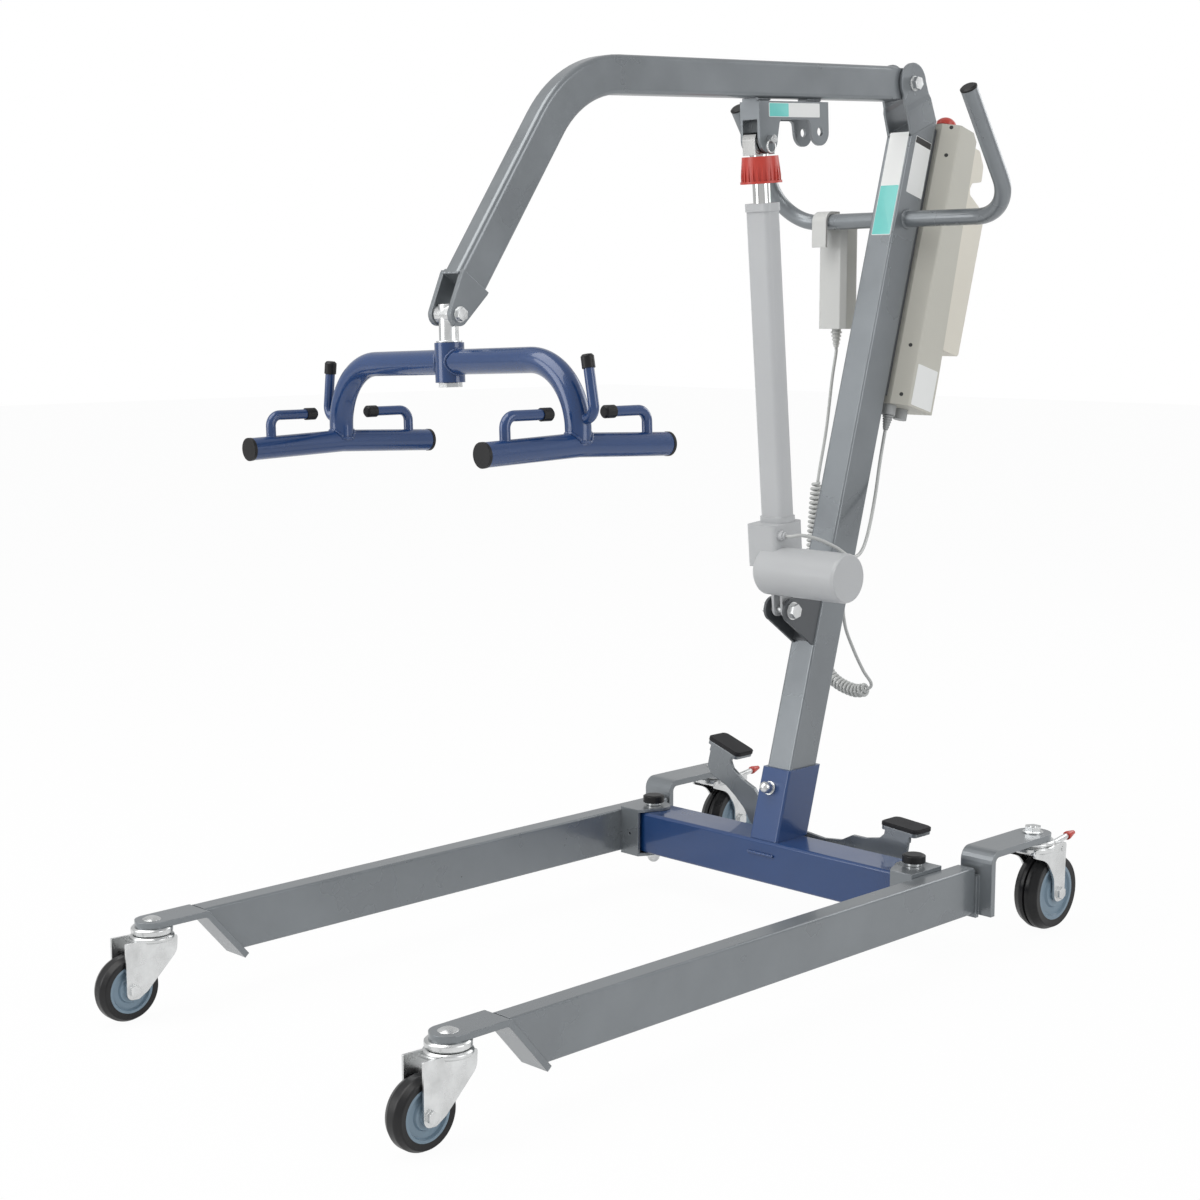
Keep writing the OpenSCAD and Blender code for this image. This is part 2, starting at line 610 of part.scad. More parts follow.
module actuator_cable() color("lightgray") placed() {
    q = route(cable_route, 8);
    l = lengths(q);
    n = 34;
    c = [for (i = [0:n]) along(q, l, l[len(l) - 1] * i / n)];
    fix = concat([q[0], q[0] + 4.5 * down], [for (i = [1:n - 1]) c[i]],
        [gland_at + [turn_gap + 4.5, 0, 0], gland_at + [turn_gap, 0, 0]]);
    swept(fix, [for (i = [0:len(fix) - 1]) [0.3, 0.2, 1]], cable_r, 10);
}

// Handset cord with its curls, one unbroken tube
cord_start = [-handset_x, handle_y + hand_front + hand_t / 2, hand_low - hand_relief - turn_gap];
cord_mid = [[-119, 248, 690], [-124, 243, 620], [-131, 235, 549], [-132, 230, 490], [-130, 224, 430],
    [-122, 217, 370], [-104, 209, 318], [-74, 202, 284], [-34, 198, 272], [-8, 196, 277], [4, 189, 287],
    [3, 172, 307], [1, 152, 339], [-1, 136, 374], [-5, 136, 420], [-10, 150, 480], [-12, 168, 546]];
cord_route = concat([cord_start, cord_start - [0, 0, 8]], cord_mid,
    [plug_end(plug_at[1]) + 8 * down, plug_end(plug_at[1]) + turn_gap * down]);
curls = 54;
curl_r = 7.3;
curl_from = 4;
curl_to = 11;
curl_rings = 8;
module handset_cord() color("gainsboro") placed() {
    k = 10;
    q = route(cord_route, k);
    l = lengths(q);
    all = l[len(l) - 1];
    a = l[curl_from * k];
    b = l[curl_to * k];
    pitch = (b - a) / curls;
    d = concat([0, 2 * wire_r], [for (x = [10:9:a - 4]) x], [for (i = [0:curls * curl_rings])
        a + i * pitch / curl_rings], [for (x = [b + 4:4:b + 44]) x], [for (x = [b + 53:9:all - 6]) x],
        [all - 2 * wire_r, all]);
    turn = [for (x = d) 360 * min(max(x - a, 0), b - a) / pitch];
    out = [for (x = d) curl_r * min(1, max(0, min(x - a, b - x) / (0.75 * pitch)))];
    t = [for (x = d) unit(along(q, l, x + 1) - along(q, l, x - 1))];
    u = [for (i = [0:len(d) - 1]) square_to([0, 1, 0], t[i])];
    e = [for (i = [0:len(d) - 1]) u[i] * cos(turn[i]) + cross(t[i], u[i]) * sin(turn[i])];
    c = [for (i = [0:len(d) - 1]) along(q, l, d[i]) + out[i] * e[i]];
    first = len([for (x = [10:9:a - 4]) x]) + 2;
    last = first + curls * curl_rings;
    near = min([for (i = [first:last]) for (j = [-3:3]) if (i + curl_rings + j < last)
        norm(c[i] - c[i + curl_rings + j])]);
    echo("least gap between curls", near - 2 * wire_r, "cord length", all, "pitch", pitch);
    swept(c, e, wire_r, 6);
}

// Leg tube, its front cut to the slant
slant_len = norm([leg_slant, leg_h]);
module leg_tube(s) color("slategray") placed() side(s) difference() {
    translate([leg_x, leg_rear, leg_z + leg_h / 2]) rotate([90, 0, 0])
        linear_extrude(leg_front + leg_rear + 1) tube2d(leg_w, leg_h, leg_wall, 3);
    x_plate(0, 400) polygon([[-leg_front - leg_slant, beam_top + leg_h], [-leg_front + leg_slant, leg_z],
        [-leg_front + 2 * leg_slant, leg_z - leg_h], [-leg_front - 99, leg_z - leg_h],
        [-leg_front - 99, 220]]);
}
module leg_tube_l() leg_tube(-1);
module leg_tube_r() leg_tube(1);

// Bracket round the end of the crossbeam, with the tie rod lug
leg_in = leg_x - leg_w / 2;
brim = beam_over + 9;
module bracket_plate() {
    circle(brim);
    translate([0, -bracket_front]) square([leg_in - pivot_x, bracket_front + bracket_rear]);
    polygon([[-brim + 2, -6], [-12, -bracket_front + 9], [-7, -bracket_front], [1, -bracket_front], [1, 0]]);
}
module leg_bracket(s) color("lightslategray") placed() side(s) translate([pivot_x, 0, 0]) {
    difference() {
        union() {
            translate([0, 0, plate_z]) linear_extrude(bracket_t) bracket_plate();
            translate([0, 0, foot_z]) linear_extrude(bracket_t) bracket_plate();
            translate([leg_in - pivot_x - bracket_t, -bracket_front, foot_z])
                cube([bracket_t, bracket_front + bracket_rear, plate_top - foot_z]);
            translate([-7, -bracket_front, foot_z])
                cube([leg_in - pivot_x + 7, bracket_t, plate_top - foot_z]);
            translate([leg_in - pivot_x - bracket_t, 0, lug_z - 10]) cube([bracket_t, leg_rear, 15]);
        }
        z_rod(pivot_bolt_r + pin_gap, 0, 200);
        translate([9, 0, beam_z + beam_h * 0.45]) y_rod(2, -60, 0);
    }
    translate([-10, lug_back - 9, lug_z]) linear_extrude(5) union() {
        translate([10, 9]) circle(9.5);
        translate([10, 0]) square([leg_in - pivot_x, leg_rear - lug_back + 9]);
    }
    translate([0, lug_back, 0]) {
        z_rod(collar_r, lug_z + 4, lug_z + 5 + lug_collar);
        z_rod(lug_r, lug_z + 4, lug_z + 14 + lug_collar);
        z_rod(7, lug_z + 12.6 + lug_collar, lug_z + 15.6 + lug_collar);
    }
}
module leg_bracket_l() leg_bracket(-1);
module leg_bracket_r() leg_bracket(1);

// Bent tab that closes the front of the leg and carries the caster
slant_dir = [leg_slant, -leg_h] / slant_len;
slant_out = [-leg_h, -leg_slant] / slant_len;
tab_low = slant_len * 1.06;
caster_bolt_r = 5;
module front_tab(s) color("slategray") placed() side(s) difference() {
    top = [-leg_front, beam_top];
    union() {
        intersection() {
            x_plate(front_x - tab_w / 2, front_x + tab_w / 2) polygon(rounded([top + [-tab_reach, 0], top,
                top + tab_low * slant_dir, top + tab_low * slant_dir + tab_t * slant_out,
                top + [-tab_t * tan(atan2(leg_h, leg_slant) / 2), -tab_t],
                top + [-tab_reach, -tab_t]], [0, 5, 0, 0, 9, 0]));
            union() {
                translate([0, front_y, 0]) cube([400, 400, 200]);
            }
        }
        translate([front_x, front_y, 0]) z_rod(tab_w / 2, beam_top - tab_t, beam_top);
    }
    translate([front_x, front_y, 0]) z_rod(caster_bolt_r + pin_gap, 0, 200);
}
module front_tab_l() front_tab(-1);
module front_tab_r() front_tab(1);

// End plate and cranked rear arm
arm_y = leg_rear + 6;
module rear_arm(s) color("slategray") placed() side(s) difference() {
    union() {
        x_plate(rear_x - arm_w / 2, rear_x + arm_w / 2) polygon(rounded([[arm_y, leg_z - 1],
            [arm_y, arm_z + arm_t], [rear_y, arm_z + arm_t], [rear_y, arm_z], [arm_y + arm_t, arm_z],
            [arm_y + arm_t, leg_z - 1]], [0, 15, 0, 0, 7, 0]));
        intersection() {
            translate([rear_x, rear_y, 0]) z_rod(arm_w / 2, arm_z, arm_z + arm_t);
            translate([0, rear_y - 1, 0]) cube([400, 200, 200]);
        }
        translate([leg_x - leg_w / 2 - 2.5, leg_rear, leg_z - 4]) cube([leg_w + 5, 6, leg_h - 5]);
    }
    translate([rear_x, rear_y, 0]) z_rod(pivot_bolt_r + pin_gap, 0, 200);
    translate([leg_x + 2, 0, leg_z + 24]) y_rod(5 + pin_gap, leg_rear - 1, 200);
}
module rear_arm_l() rear_arm(-1);
module rear_arm_r() rear_arm(1);

// Caster races and bolts on the leg
race_h = 8.7;
front_crown_z = beam_top - tab_t - race_h - turn_gap;
rear_crown_z = arm_z - 6 - turn_gap;
module ring(r, z0, z1) translate([0, 0, z0]) rotate_extrude() polygon(rounded([[0, 0], [r - 2, 0], [r, 2],
    [r, z1 - z0 - 2], [r - 2, z1 - z0], [0, z1 - z0]], [0, 1.5, 1.5, 1.5, 1.5, 0], 3));
module leg_fixings(s) color("silver") placed() side(s) {
    translate([front_x, front_y, 0]) {
        z_rod(caster_bolt_r, front_crown_z - 8, beam_top + 1);
        ring(tab_w / 2 + 4.5, front_crown_z + turn_gap, beam_top - tab_t);
        hex(8, front_crown_z - 11.5, front_crown_z - 6.7 - turn_gap);
        intersection() {
            z_rod(11, beam_top, beam_top + 4);
            translate([0, 0, beam_top - 14.5]) sphere(18);
        }
    }
    translate([rear_x, rear_y, 0]) {
        z_rod(pivot_bolt_r, rear_crown_z - 12, arm_z + arm_t + 9);
        ring(28, rear_crown_z + turn_gap, arm_z);
        z_rod(13, arm_z + arm_t, arm_z + arm_t + 1.5);
        hex(11, arm_z + arm_t + 1.5, arm_z + arm_t + 8);
        hex(10, rear_crown_z - 14, rear_crown_z - 8.7 - turn_gap);
    }
    translate([leg_x + 2, 0, leg_z + 24]) {
        y_rod(5, leg_rear - 0.5, arm_y + arm_t + 8);
        rotate([-90, 0, 0]) hex(9.5, arm_y + arm_t, arm_y + arm_t + 6);
    }
}
module leg_fixings_l() leg_fixings(-1);
module leg_fixings_r() leg_fixings(1);

// Front caster fork: domed crown over two side plates
front_axle_y = -front_trail;
axle_r = 4;
module at_front(s) placed() side(s) translate([front_x, front_y, 0]) children();
module front_fork(s) color("silver") at_front(s) difference() {
    union() {
        ring(25, front_crown_z - 6.7, front_crown_z);
        for (m = [-1, 1]) side(m) x_plate(front_w / 2 + 1.5, front_w / 2 + 4) polygon(rounded([
            [front_axle_y - 9, front_r - 10], [front_axle_y - 9, front_crown_z - 0.5],
            [23, front_crown_z - 3], [22, front_crown_z - 22], [front_axle_y + 18, front_r - 4],
            [front_axle_y + 6, front_r - 11]], [8, 1, 3, 16, 10, 6]));
        translate([-front_w / 2 - 4, -26, front_crown_z - 6.7]) cube([front_w + 8, 46, 2.5]);
        translate([0, front_axle_y, front_r]) {
            x_rod(axle_r, -front_w / 2 - 6, front_w / 2 + 6);
            for (m = [-1, 1]) side(m) rotate([0, 90, 0]) hex(7, front_w / 2 + 4 - eps, front_w / 2 + 8);
        }
    }
    z_rod(caster_bolt_r + pin_gap, front_crown_z - 20, front_crown_z + 20);
}
module front_fork_l() front_fork(-1);
module front_fork_r() front_fork(1);

// Wheels: rounded tyre round a dished hub
module wheel_tyre(r, w) rotate([0, 90, 0]) rotate_extrude($fn = 72) polygon(rounded([[r * 0.72, -w / 2 + 1],
    [r * 0.9, -w / 2], [r, -w / 2 + w * 0.3], [r, w / 2 - w * 0.3], [r * 0.9, w / 2], [r * 0.72, w / 2 - 1]],
    [0, 2, w * 0.22, w * 0.22, 2, 0]));
module wheel_hub(r, w) rotate([0, 90, 0]) rotate_extrude($fn = 72) polygon([[axle_r + pin_gap, -w / 2 - 1],
    [axle_r + 5, -w / 2 - 1], [axle_r + 6, -w / 2 + 1], [r * 0.38, -w / 2 + 1.5], [r * 0.42, -w / 2 + 4],
    [r * 0.6, -w / 2 + 4], [r * 0.64, -w / 2 + 1], [r * 0.72, -w / 2 + 1], [r * 0.72, w / 2 - 1],
    [r * 0.64, w / 2 - 1], [r * 0.6, w / 2 - 4], [r * 0.42, w / 2 - 4], [r * 0.38, w / 2 - 1.5],
    [axle_r + 6, w / 2 - 1], [axle_r + 5, w / 2 + 1], [axle_r + pin_gap, w / 2 + 1]]);
module front_tyre(s) color("dimgray") at_front(s) translate([0, front_axle_y, front_r])
    wheel_tyre(front_r, front_w);
module front_hub(s) color("steelblue") at_front(s) translate([0, front_axle_y, front_r])
    wheel_hub(front_r, front_w);
module front_tyre_l() front_tyre(-1);
module front_tyre_r() front_tyre(1);
module front_hub_l() front_hub(-1);
module front_hub_r() front_hub(1);

// Rear caster fork, wheel with a split tread, and brake
module at_rear(s) placed() side(s) translate([rear_x, rear_y, 0]) children();
brake_y = rear_trail + 5;
brake_z = 2 * rear_r + 6.5;
brake_pin = 3;
module rear_fork(s) color("silver") at_rear(s) difference() {
    union() {
        ring(28, rear_crown_z - 8.7, rear_crown_z);
        for (m = [-1, 1]) side(m) x_plate(rear_w / 2 + 1.5, rear_w / 2 + 4.5) polygon(rounded([
            [-24, rear_crown_z - 2], [rear_trail + 13, rear_crown_z - 2],
            [rear_trail + 12, rear_crown_z - 20],
            [rear_trail + 11, rear_r - 11], [rear_trail - 11, rear_r - 11], [rear_trail - 13, rear_r + 22],
            [2, rear_r + 46], [-26, rear_r + 55]], [2, 4, 30, 9, 9, 30, 30, 3]));
        translate([-rear_w / 2 - 4.5, -24, rear_crown_z - 8.7]) cube([rear_w + 9, 50, 2.7]);
        translate([0, rear_trail, rear_r]) {
            x_rod(axle_r, -rear_w / 2 - 6, rear_w / 2 + 6);
            for (m = [-1, 1]) side(m) rotate([0, 90, 0]) hex(8, rear_w / 2 + 4.5 - eps, rear_w / 2 + 9);
        }
        translate([0, brake_y, brake_z]) x_rod(brake_pin, -rear_w / 2 - 5.5, rear_w / 2 + 5.5);
    }
    z_rod(pivot_bolt_r + pin_gap, rear_crown_z - 20, rear_crown_z + 20);
}
module rear_fork_l() rear_fork(-1);
module rear_fork_r() rear_fork(1);
module rear_tyre(s) color("dimgray") at_rear(s) translate([0, rear_trail, rear_r]) difference() {
    wheel_tyre(rear_r, rear_w);
    rotate([0, 90, 0]) rotate_extrude($fn = 72)
        polygon([[rear_r - 3, -0.6], [rear_r + 1, -2], [rear_r + 1, 2], [rear_r - 3, 0.6]]);
}
module rear_hub(s) color("steelblue") at_rear(s) translate([0, rear_trail, rear_r])
    wheel_hub(rear_r, rear_w);
module rear_tyre_l() rear_tyre(-1);
module rear_tyre_r() rear_tyre(1);
module rear_hub_l() rear_hub(-1);
module rear_hub_r() rear_hub(1);
lever_l = 42;
lever_a = 7.5;
module brake(s) color("silver") at_rear(s) translate([0, brake_y, brake_z]) difference() {
    union() {
        x_rod(brake_pin + 2.2, -rear_w / 2 - 1, rear_w / 2 + 1);
        x_plate(-9, 9) polygon([[0, -4], [4, -5.6], [6, -4.4], [4, 0], [0, 3]]);
        rotate([lever_a, 0, 0]) {
            x_plate(-9, 9) polygon([[0, -1], [16, -2], [16, 2], [0, 5]]);
            y_rod(3.8, 10, lever_l);
        }
    }
    x_rod(brake_pin + pin_gap, -60, 60);
}
module brake_l() brake(-1);
module brake_r() brake(1);
module brake_tip(s) color("red") at_rear(s) translate([0, brake_y, brake_z]) rotate([lever_a - 90, 0, 0])
    translate([0, 0, lever_l]) {
        z_rod(5.5, 0, 3);
        translate([0, 0, 3]) cylinder(r1 = 5.5, r2 = 2.6, h = 13);
    }
module brake_tip_l() brake_tip(-1);
module brake_tip_r() brake_tip(1);

// Foot pedal that rocks and spreads the legs
pedal_t = 5;
pad_l = 58;
pad_d = 37;
pad_lift = 7;
pin_r = 4;
rod_eye = 8.5;
eye_play = 1.1;
module at_pedal() placed() translate([-pedal_off, 0, pedal_z]) rotate([0, pedal_tilt, 0]) children();
function wing(m) = [[m * 40, -20], [m * (pedal_reach - 70), 10], [m * (pedal_reach - 57), 23],
    [m * (pedal_reach - 38), 34], [m * (pedal_reach - 20), 42], [m * (pedal_reach + 10), 48],
    [m * (pedal_reach + 18), 58], [m * (pedal_reach + 17), pedal_rise - 2],
    [m * (pedal_reach - 20), pedal_rise - 5], [m * (pedal_reach - 20), 77], [m * (pedal_reach - 26), 69],
    [m * (pedal_reach - 48), 60], [m * (pedal_reach - 68), 56], [m * (pedal_reach - 84), 43],
    [m * (pedal_reach - 112), 34]];
module at_pad(m) translate([m * (pedal_reach - 1), 0, pedal_rise - 5]) rotate([0, -pad_lift * m, 0])
    children();
module pedal_rocker() color("slategray") at_pedal() difference() {
    union() {
        for (m = [-1, 1]) y_plate(pedal_y, pedal_y + pedal_t)
            polygon(concat([[0, -24]], wing(m), [[0, 30]]));
        y_plate(pedal_y, pedal_y + pedal_t) circle(24);
        for (m = [-1, 1]) at_pad(m) {
            translate([0, pedal_y + pad_d / 2, 0]) linear_extrude(5) rrect(pad_l - 4, pad_d, 6);
            translate([-19, pedal_y, -8]) cube([38, pedal_t, 12]);
        }
        for (m = [-1, 1]) translate([0, 0, m * rocker_pin]) y_rod(pin_r, lug_back - 7, pedal_y + 1);
    }
    y_rod(pedal_bolt_r + pin_gap, 0, 200);
}
module pedal_pads() color("black") at_pedal() for (m = [-1, 1])
    at_pad(m) translate([0, pedal_y + pad_d / 2, 5]) {
        linear_extrude(4) rrect(pad_l, pad_d, 8);
        translate([0, 0, 4]) linear_extrude(1) rrect(pad_l - 3, pad_d - 3, 7);
    }

// Tie rods from the pedal to the legs
tie_z = lug_z + 5 + lug_collar + turn_gap;
tie_t = 7;
module tie_rod(s) color("silver") placed() {
    pin = [-pedal_off + s * rocker_pin * sin(pedal_tilt), pedal_z + s * rocker_pin * cos(pedal_tilt)];
    lug = [s * pivot_x, tie_z + tie_t / 2];
    run = norm(pin - lug);
    lean = atan2(pin[1] - lug[1], s * (lug[0] - pin[0]));
    side(s) translate([pivot_x, lug_back, 0]) difference() {
        union() {
            z_rod(rod_eye, tie_z, tie_z + tie_t);
            translate([0, 0, lug[1]]) rotate([0, lean, 0]) {
                x_rod(3.5, -run + rod_eye - 1, -collar_r - 1.2);
                translate([-run, 0, 0]) y_rod(rod_eye, -4, 4);
            }
        }
        z_rod(lug_r + pin_gap, 0, 200);
        translate([0, 0, lug[1]]) rotate([0, lean, 0]) translate([-run, 0, 0])
            y_rod(pin_r + eye_play, -20, 20);
    }
}
module tie_rod_l() tie_rod(-1);
module tie_rod_r() tie_rod(1);

// Boom: straight tube, bend, and a fork that carries the hanger
boss = 19;
hang_r = 5;
lobe_r = 12.5;
fork_t = 6;
fork_in = 12.6;
seam = 38.5;
fork_l = boom_drop - seam;
boom_tan = boom_r * tan(boom_bend / 2);
module boom_run(more) {
    w = boom_w - 2 * boom_wall * more;
    h = boom_h - 2 * boom_wall * more;
    r = more > 0 ? 3.5 : 6;
    translate([0, -26 + 10 * more, 0]) rotate([90, 0, 0])
        linear_extrude(boom_l - boom_tan - 26 + 10 * more + seam_lap) rrect(w, h, r);
    translate([0, -boom_l + boom_tan, -boom_r]) rotate([0, 90, 0]) rotate([0, 0, 180])
        rotate_extrude(angle = boom_bend, $fn = 96) translate([boom_r, 0])
            rrect(h - 2 * seam_step, w - 2 * seam_step, r - seam_step);
    translate([0, -boom_l, 0]) rotate([boom_bend, 0, 0]) translate([0, seam_lap - boom_tan, 0])
        rotate([90, 0, 0]) linear_extrude(fork_l - boom_tan - 3 * more + seam_lap) rrect(w, h, r);
}
module at_fork() translate([0, -boom_l, 0]) rotate([boom_bend, 0, 0])
    translate([0, -boom_drop, 0]) children();
module boom() color("slategray") placed() in_boom() difference() {
    union() {
        difference() {
            boom_run(0);
            boom_run(1);
        }
        x_rod(boss, -boom_w / 2, boom_w / 2);
        for (s = [-1, 1]) side(s) {
            x_rod(11, boom_w / 2 - 1, ear_in - turn_gap);
            x_plate(boom_w / 2 - boom_wall, boom_w / 2)
                polygon([[-40, -20], [-40, 20], [0, boss], [0, -boss]]);
        }
        at_fork() translate([-fork_in - fork_t, seam, -boom_h / 2 + 1])
            cube([2 * (fork_in + fork_t), 4, boom_h - 2]);
        at_fork() for (s = [-1, 1]) side(s) x_plate(fork_in, fork_in + fork_t) {
            circle(lobe_r);
            polygon([[-2, -lobe_r + 0.2], [seam + 1, -boom_h / 2 + 1], [seam + 1, boom_h / 2 - 1],
                [-2, lobe_r - 0.2]]);
        }
    }
    x_rod(hinge_r + pin_gap, -60, 60);
    at_fork() x_rod(hang_r + pin_gap, -60, 60);
}

// Channel under the boom that takes the head of the actuator, with spare holes behind
chan_in = 11.5;
chan_t = 4;
lip_h = 26;
weld_gap = 4;
clevis_r = 5;
spare_r = 5.5;
spare_y = -clevis_fwd + 98.7;
spare_z = -clevis_down + 9.7;
module boom_bracket() color("slategray") placed() in_boom() difference() {
    union() {
        for (s = [-1, 1]) side(s) x_plate(chan_in, chan_in + chan_t) {
            translate([-clevis_fwd, -clevis_down]) circle(16.5);
            translate([spare_y, spare_z]) circle(17);
            polygon(rounded([[-clevis_fwd - 16.5, -clevis_down],
                [-clevis_fwd - 16.5, -boom_h / 2 - weld_gap],
                [spare_y + 17, -boom_h / 2 - weld_gap], [spare_y + 17, spare_z], [spare_y - 17, spare_z],
                [spare_y - 19, -boom_h / 2 - 26], [-clevis_fwd + 22, -boom_h / 2 - 26],
                [-clevis_fwd + 16.5, -clevis_down]], [0, 0, 0, 0, 0, 6, 6, 0]));
        }
        translate([-chan_in - eps, -clevis_fwd - 16.5, -boom_h / 2 - weld_gap - chan_t])
            cube([2 * chan_in + 2 * eps, spare_y + clevis_fwd + 33.5, chan_t]);
        for (y = [-clevis_fwd - 12, spare_y - 14]) translate([-6, y, -boom_h / 2 - weld_gap - 1])
            cube([12, 26, weld_gap + 1]);
        translate([-chan_in - eps, -clevis_fwd - 16.5, -boom_h / 2 - lip_h])
            cube([2 * chan_in + 2 * eps, 3, lip_h]);
    }
    translate([0, -clevis_fwd, -clevis_down]) x_rod(clevis_r + pin_gap, -60, 60);
    translate([0, spare_y, spare_z]) x_rod(spare_r, -60, 60);
}
module boom_pins() color("silver") placed() in_boom() {
    translate([0, -clevis_fwd, -clevis_down]) {
        x_rod(clevis_r, -chan_in - chan_t - 1, chan_in + chan_t + 9);
        side(-1) x_rod(clevis_r + 3, chan_in + chan_t, chan_in + chan_t + 4);
        translate([chan_in + chan_t + 4.5, -1, -8.5]) rotate([0, 90, 0]) rotate_extrude($fn = 32)
            translate([7.5, 0]) circle(1.1, $fn = 16);
    }
    at_fork() {
        x_rod(hang_r, -fork_in - fork_t - 5, fork_in + fork_t + 5);
        for (s = [-1, 1]) side(s) {
            x_rod(hang_r + 3.5, fork_in + fork_t, fork_in + fork_t + 1.5);
            rotate([0, 90, 0]) hex(hang_r + 2.2, fork_in + fork_t + 1.5, fork_in + fork_t + 6);
        }
    }
}

// Actuator: motor and gear case, tube, rod and release ring
motor_v = -20;
motor_w = 55.5;
motor_x = -6;
case_w = 47;
case_d = 56;
case_top = 115;
ring_top = act_l - 19.5;
ring_low = ring_top - 32.6;
tube_top = ring_low - 23.7;
module actuator_body() color("whitesmoke") placed() in_actuator() difference() {
    union() {
        translate([motor_x, motor_v, motor_w]) rotate([0, 90, 0]) rotate_extrude($fn = 72) polygon(rounded(
            [[0, 0], [motor_d / 2 - 5, 0], [motor_d / 2, 6], [motor_d / 2, motor_l - 4.5],
            [motor_d / 2 - 1.5, motor_l], [0, motor_l]], [0, 4, 4, 2, 1, 0]));
        translate([0, -7, motor_w + 6]) linear_extrude(case_top - motor_w - 6) rrect(case_w, case_d, 6);
        translate([0, gland_v, gland_w]) {
            x_rod(6.5, case_w / 2 - 1, gland_x - 3);
            x_rod(5, case_w / 2 - 1, gland_x);
        }
        for (s = [-1, 1]) side(s) x_plate(5, 9) {
            circle(9);
            translate([-9, 0]) square([18, motor_w + 8]);
        }
    }
    x_rod(foot_r + pin_gap, -60, 60);
}
module actuator_tube() color("gainsboro") placed() in_actuator() difference() {
    union() {
        translate([0, 0, case_top]) linear_extrude(tube_top - case_top) rrect(act_w, act_d, 8);
        translate([0, 0, tube_top - 10]) linear_extrude(10) rrect(act_w + 3, act_d + 3, 9.5);
        translate([0, 0, case_top]) linear_extrude(7) rrect(act_w + 4, act_d + 4, 10);
    }
    translate([0, 0, case_top - 1]) linear_extrude(tube_top - case_top - 13) rrect(act_w - 4, act_d - 4, 6);
    z_rod(rod_r + pin_gap, case_top, tube_top + 1);
}
tongue_low = ring_top + 1.7;
slot_r = clevis_r + slot_play;
module actuator_rod() color("silver") placed() in_actuator() difference() {
    union() {
        z_rod(rod_r, case_top + 35, tongue_low + 1);
        x_plate(-10, 10) {
            translate([(eye_aft - eye_fore) / 2, 0]) translate([-(eye_fore + eye_aft) / 2 - 9.5, tongue_low])
                square([eye_fore + eye_aft + 19, act_l - tongue_low]);
            translate([-eye_fore, act_l]) circle(9.5);
            translate([eye_aft, act_l]) circle(9.5);
            translate([-eye_fore, act_l]) square([eye_fore + eye_aft, 9.5]);
        }
    }
    translate([0, 0, act_l]) {
        translate([0, -eye_fore, 0]) x_rod(slot_r, -60, 60);
        translate([0, eye_aft, 0]) x_rod(slot_r, -60, 60);
        x_plate(-60, 60) translate([-eye_fore, -slot_r]) square([eye_fore + eye_aft, 2 * slot_r]);
    }
}
module release_ring() color("firebrick") placed() in_actuator() difference() {
    union() {
        intersection() {
            translate([0, 0, ring_low]) linear_extrude(ring_top - ring_low) {
                circle(23.3);
                for (k = [0:23]) rotate(15 * k) translate([21, -1.4]) square([3.6, 2.8]);
            }
            translate([0, 0, ring_low]) cylinder(r1 = 25.6, r2 = 22.4, h = ring_top - ring_low);
        }
        z_rod(25.8, ring_low, ring_low + 3);
    }
    z_rod(rod_r + pin_gap, 0, 800);
    translate([0, 0, ring_low - 1]) z_rod(20, 0, 4);
}

// Hanger pin under the boom fork, then the spreader that turns on it
hub_top = -29.9;
hub_l = 42.4;
shank_r = 7;
module at_hang() placed() translate([0, hang_y, hang_z]) children();
module at_lean() at_hang() rotate([0, -hang_lean, 0]) children();
module hanger() color("silver") at_hang() difference() {
    union() {
        x_rod(11, -fork_in + turn_gap, fork_in - turn_gap);
        rotate([0, -hang_lean, 0]) {
            z_rod(10.5, hub_top + turn_gap + 1.5, 10.7);
            z_rod(14, hub_top + turn_gap, hub_top + turn_gap + 1.6);
            z_rod(shank_r, hub_top - hub_l - 5, hub_top + 2);
            hex(13, hub_top - hub_l - 5, hub_top - hub_l - turn_gap);
        }
    }
    x_rod(hang_r + pin_gap, -60, 60);
}
hub_r = 16;
arch_z = -50.6;
arch_wall = 2;
droop = 2;
hook_bend = 12;
post_in = 27;
post_rise = 32;
post_run = 47;
peg_low = 26;
peg_a = 99;
peg_l = 37;
module at_peg() translate([arch_half + 4, 0, arch_z - arch_drop + peg_low]) rotate([90, 0, 0]) children();
module at_spreader() at_lean() rotate([0, 0, spreader_turn]) children();
module arch(r, more) translate([0, 0, arch_z]) rotate([-90, 0, 0])
    bent(r, 90, arch_half - arch_bend, arch_bend, arch_drop - arch_bend + more);
module cross_tube(r, more) translate([arch_half, 0, arch_z - arch_drop]) for (m = [-1, 1])
    rotate([-m * droop, 0, 0]) y_rod(r, m > 0 ? -0.5 : -cross_half - more, m > 0 ? cross_half + more : 0.5);
module hooks() {
    for (m = [-1, 1]) translate([arch_half, m * (cross_half - post_in), arch_z - arch_drop])
        rotate([0, 0, 90 * m]) rotate([90, 0, 0]) rotate([0, 0, 90])
            bent(hook_r, 90, post_rise - hook_bend, hook_bend, post_run - hook_bend, $fn = 24);
    at_peg() bent(hook_r, peg_a, 8, hook_bend, peg_l, $fn = 24);
}
module spreader() color("royalblue") at_spreader() difference() {
    union() {
        z_rod(hub_r, hub_top - hub_l, hub_top);
        for (s = [-1, 1]) side(s) {
            arch(arch_r, 0);
            cross_tube(cross_r, 0);
            hooks();
        }
    }
    for (s = [-1, 1]) side(s) difference() {
        union() {
            arch(arch_r - arch_wall, 1);
            cross_tube(cross_r - arch_wall, 2);
        }
        z_rod(hub_r - 2, -200, 200);
    }
    z_rod(shank_r + pin_gap, -200, 200);
}
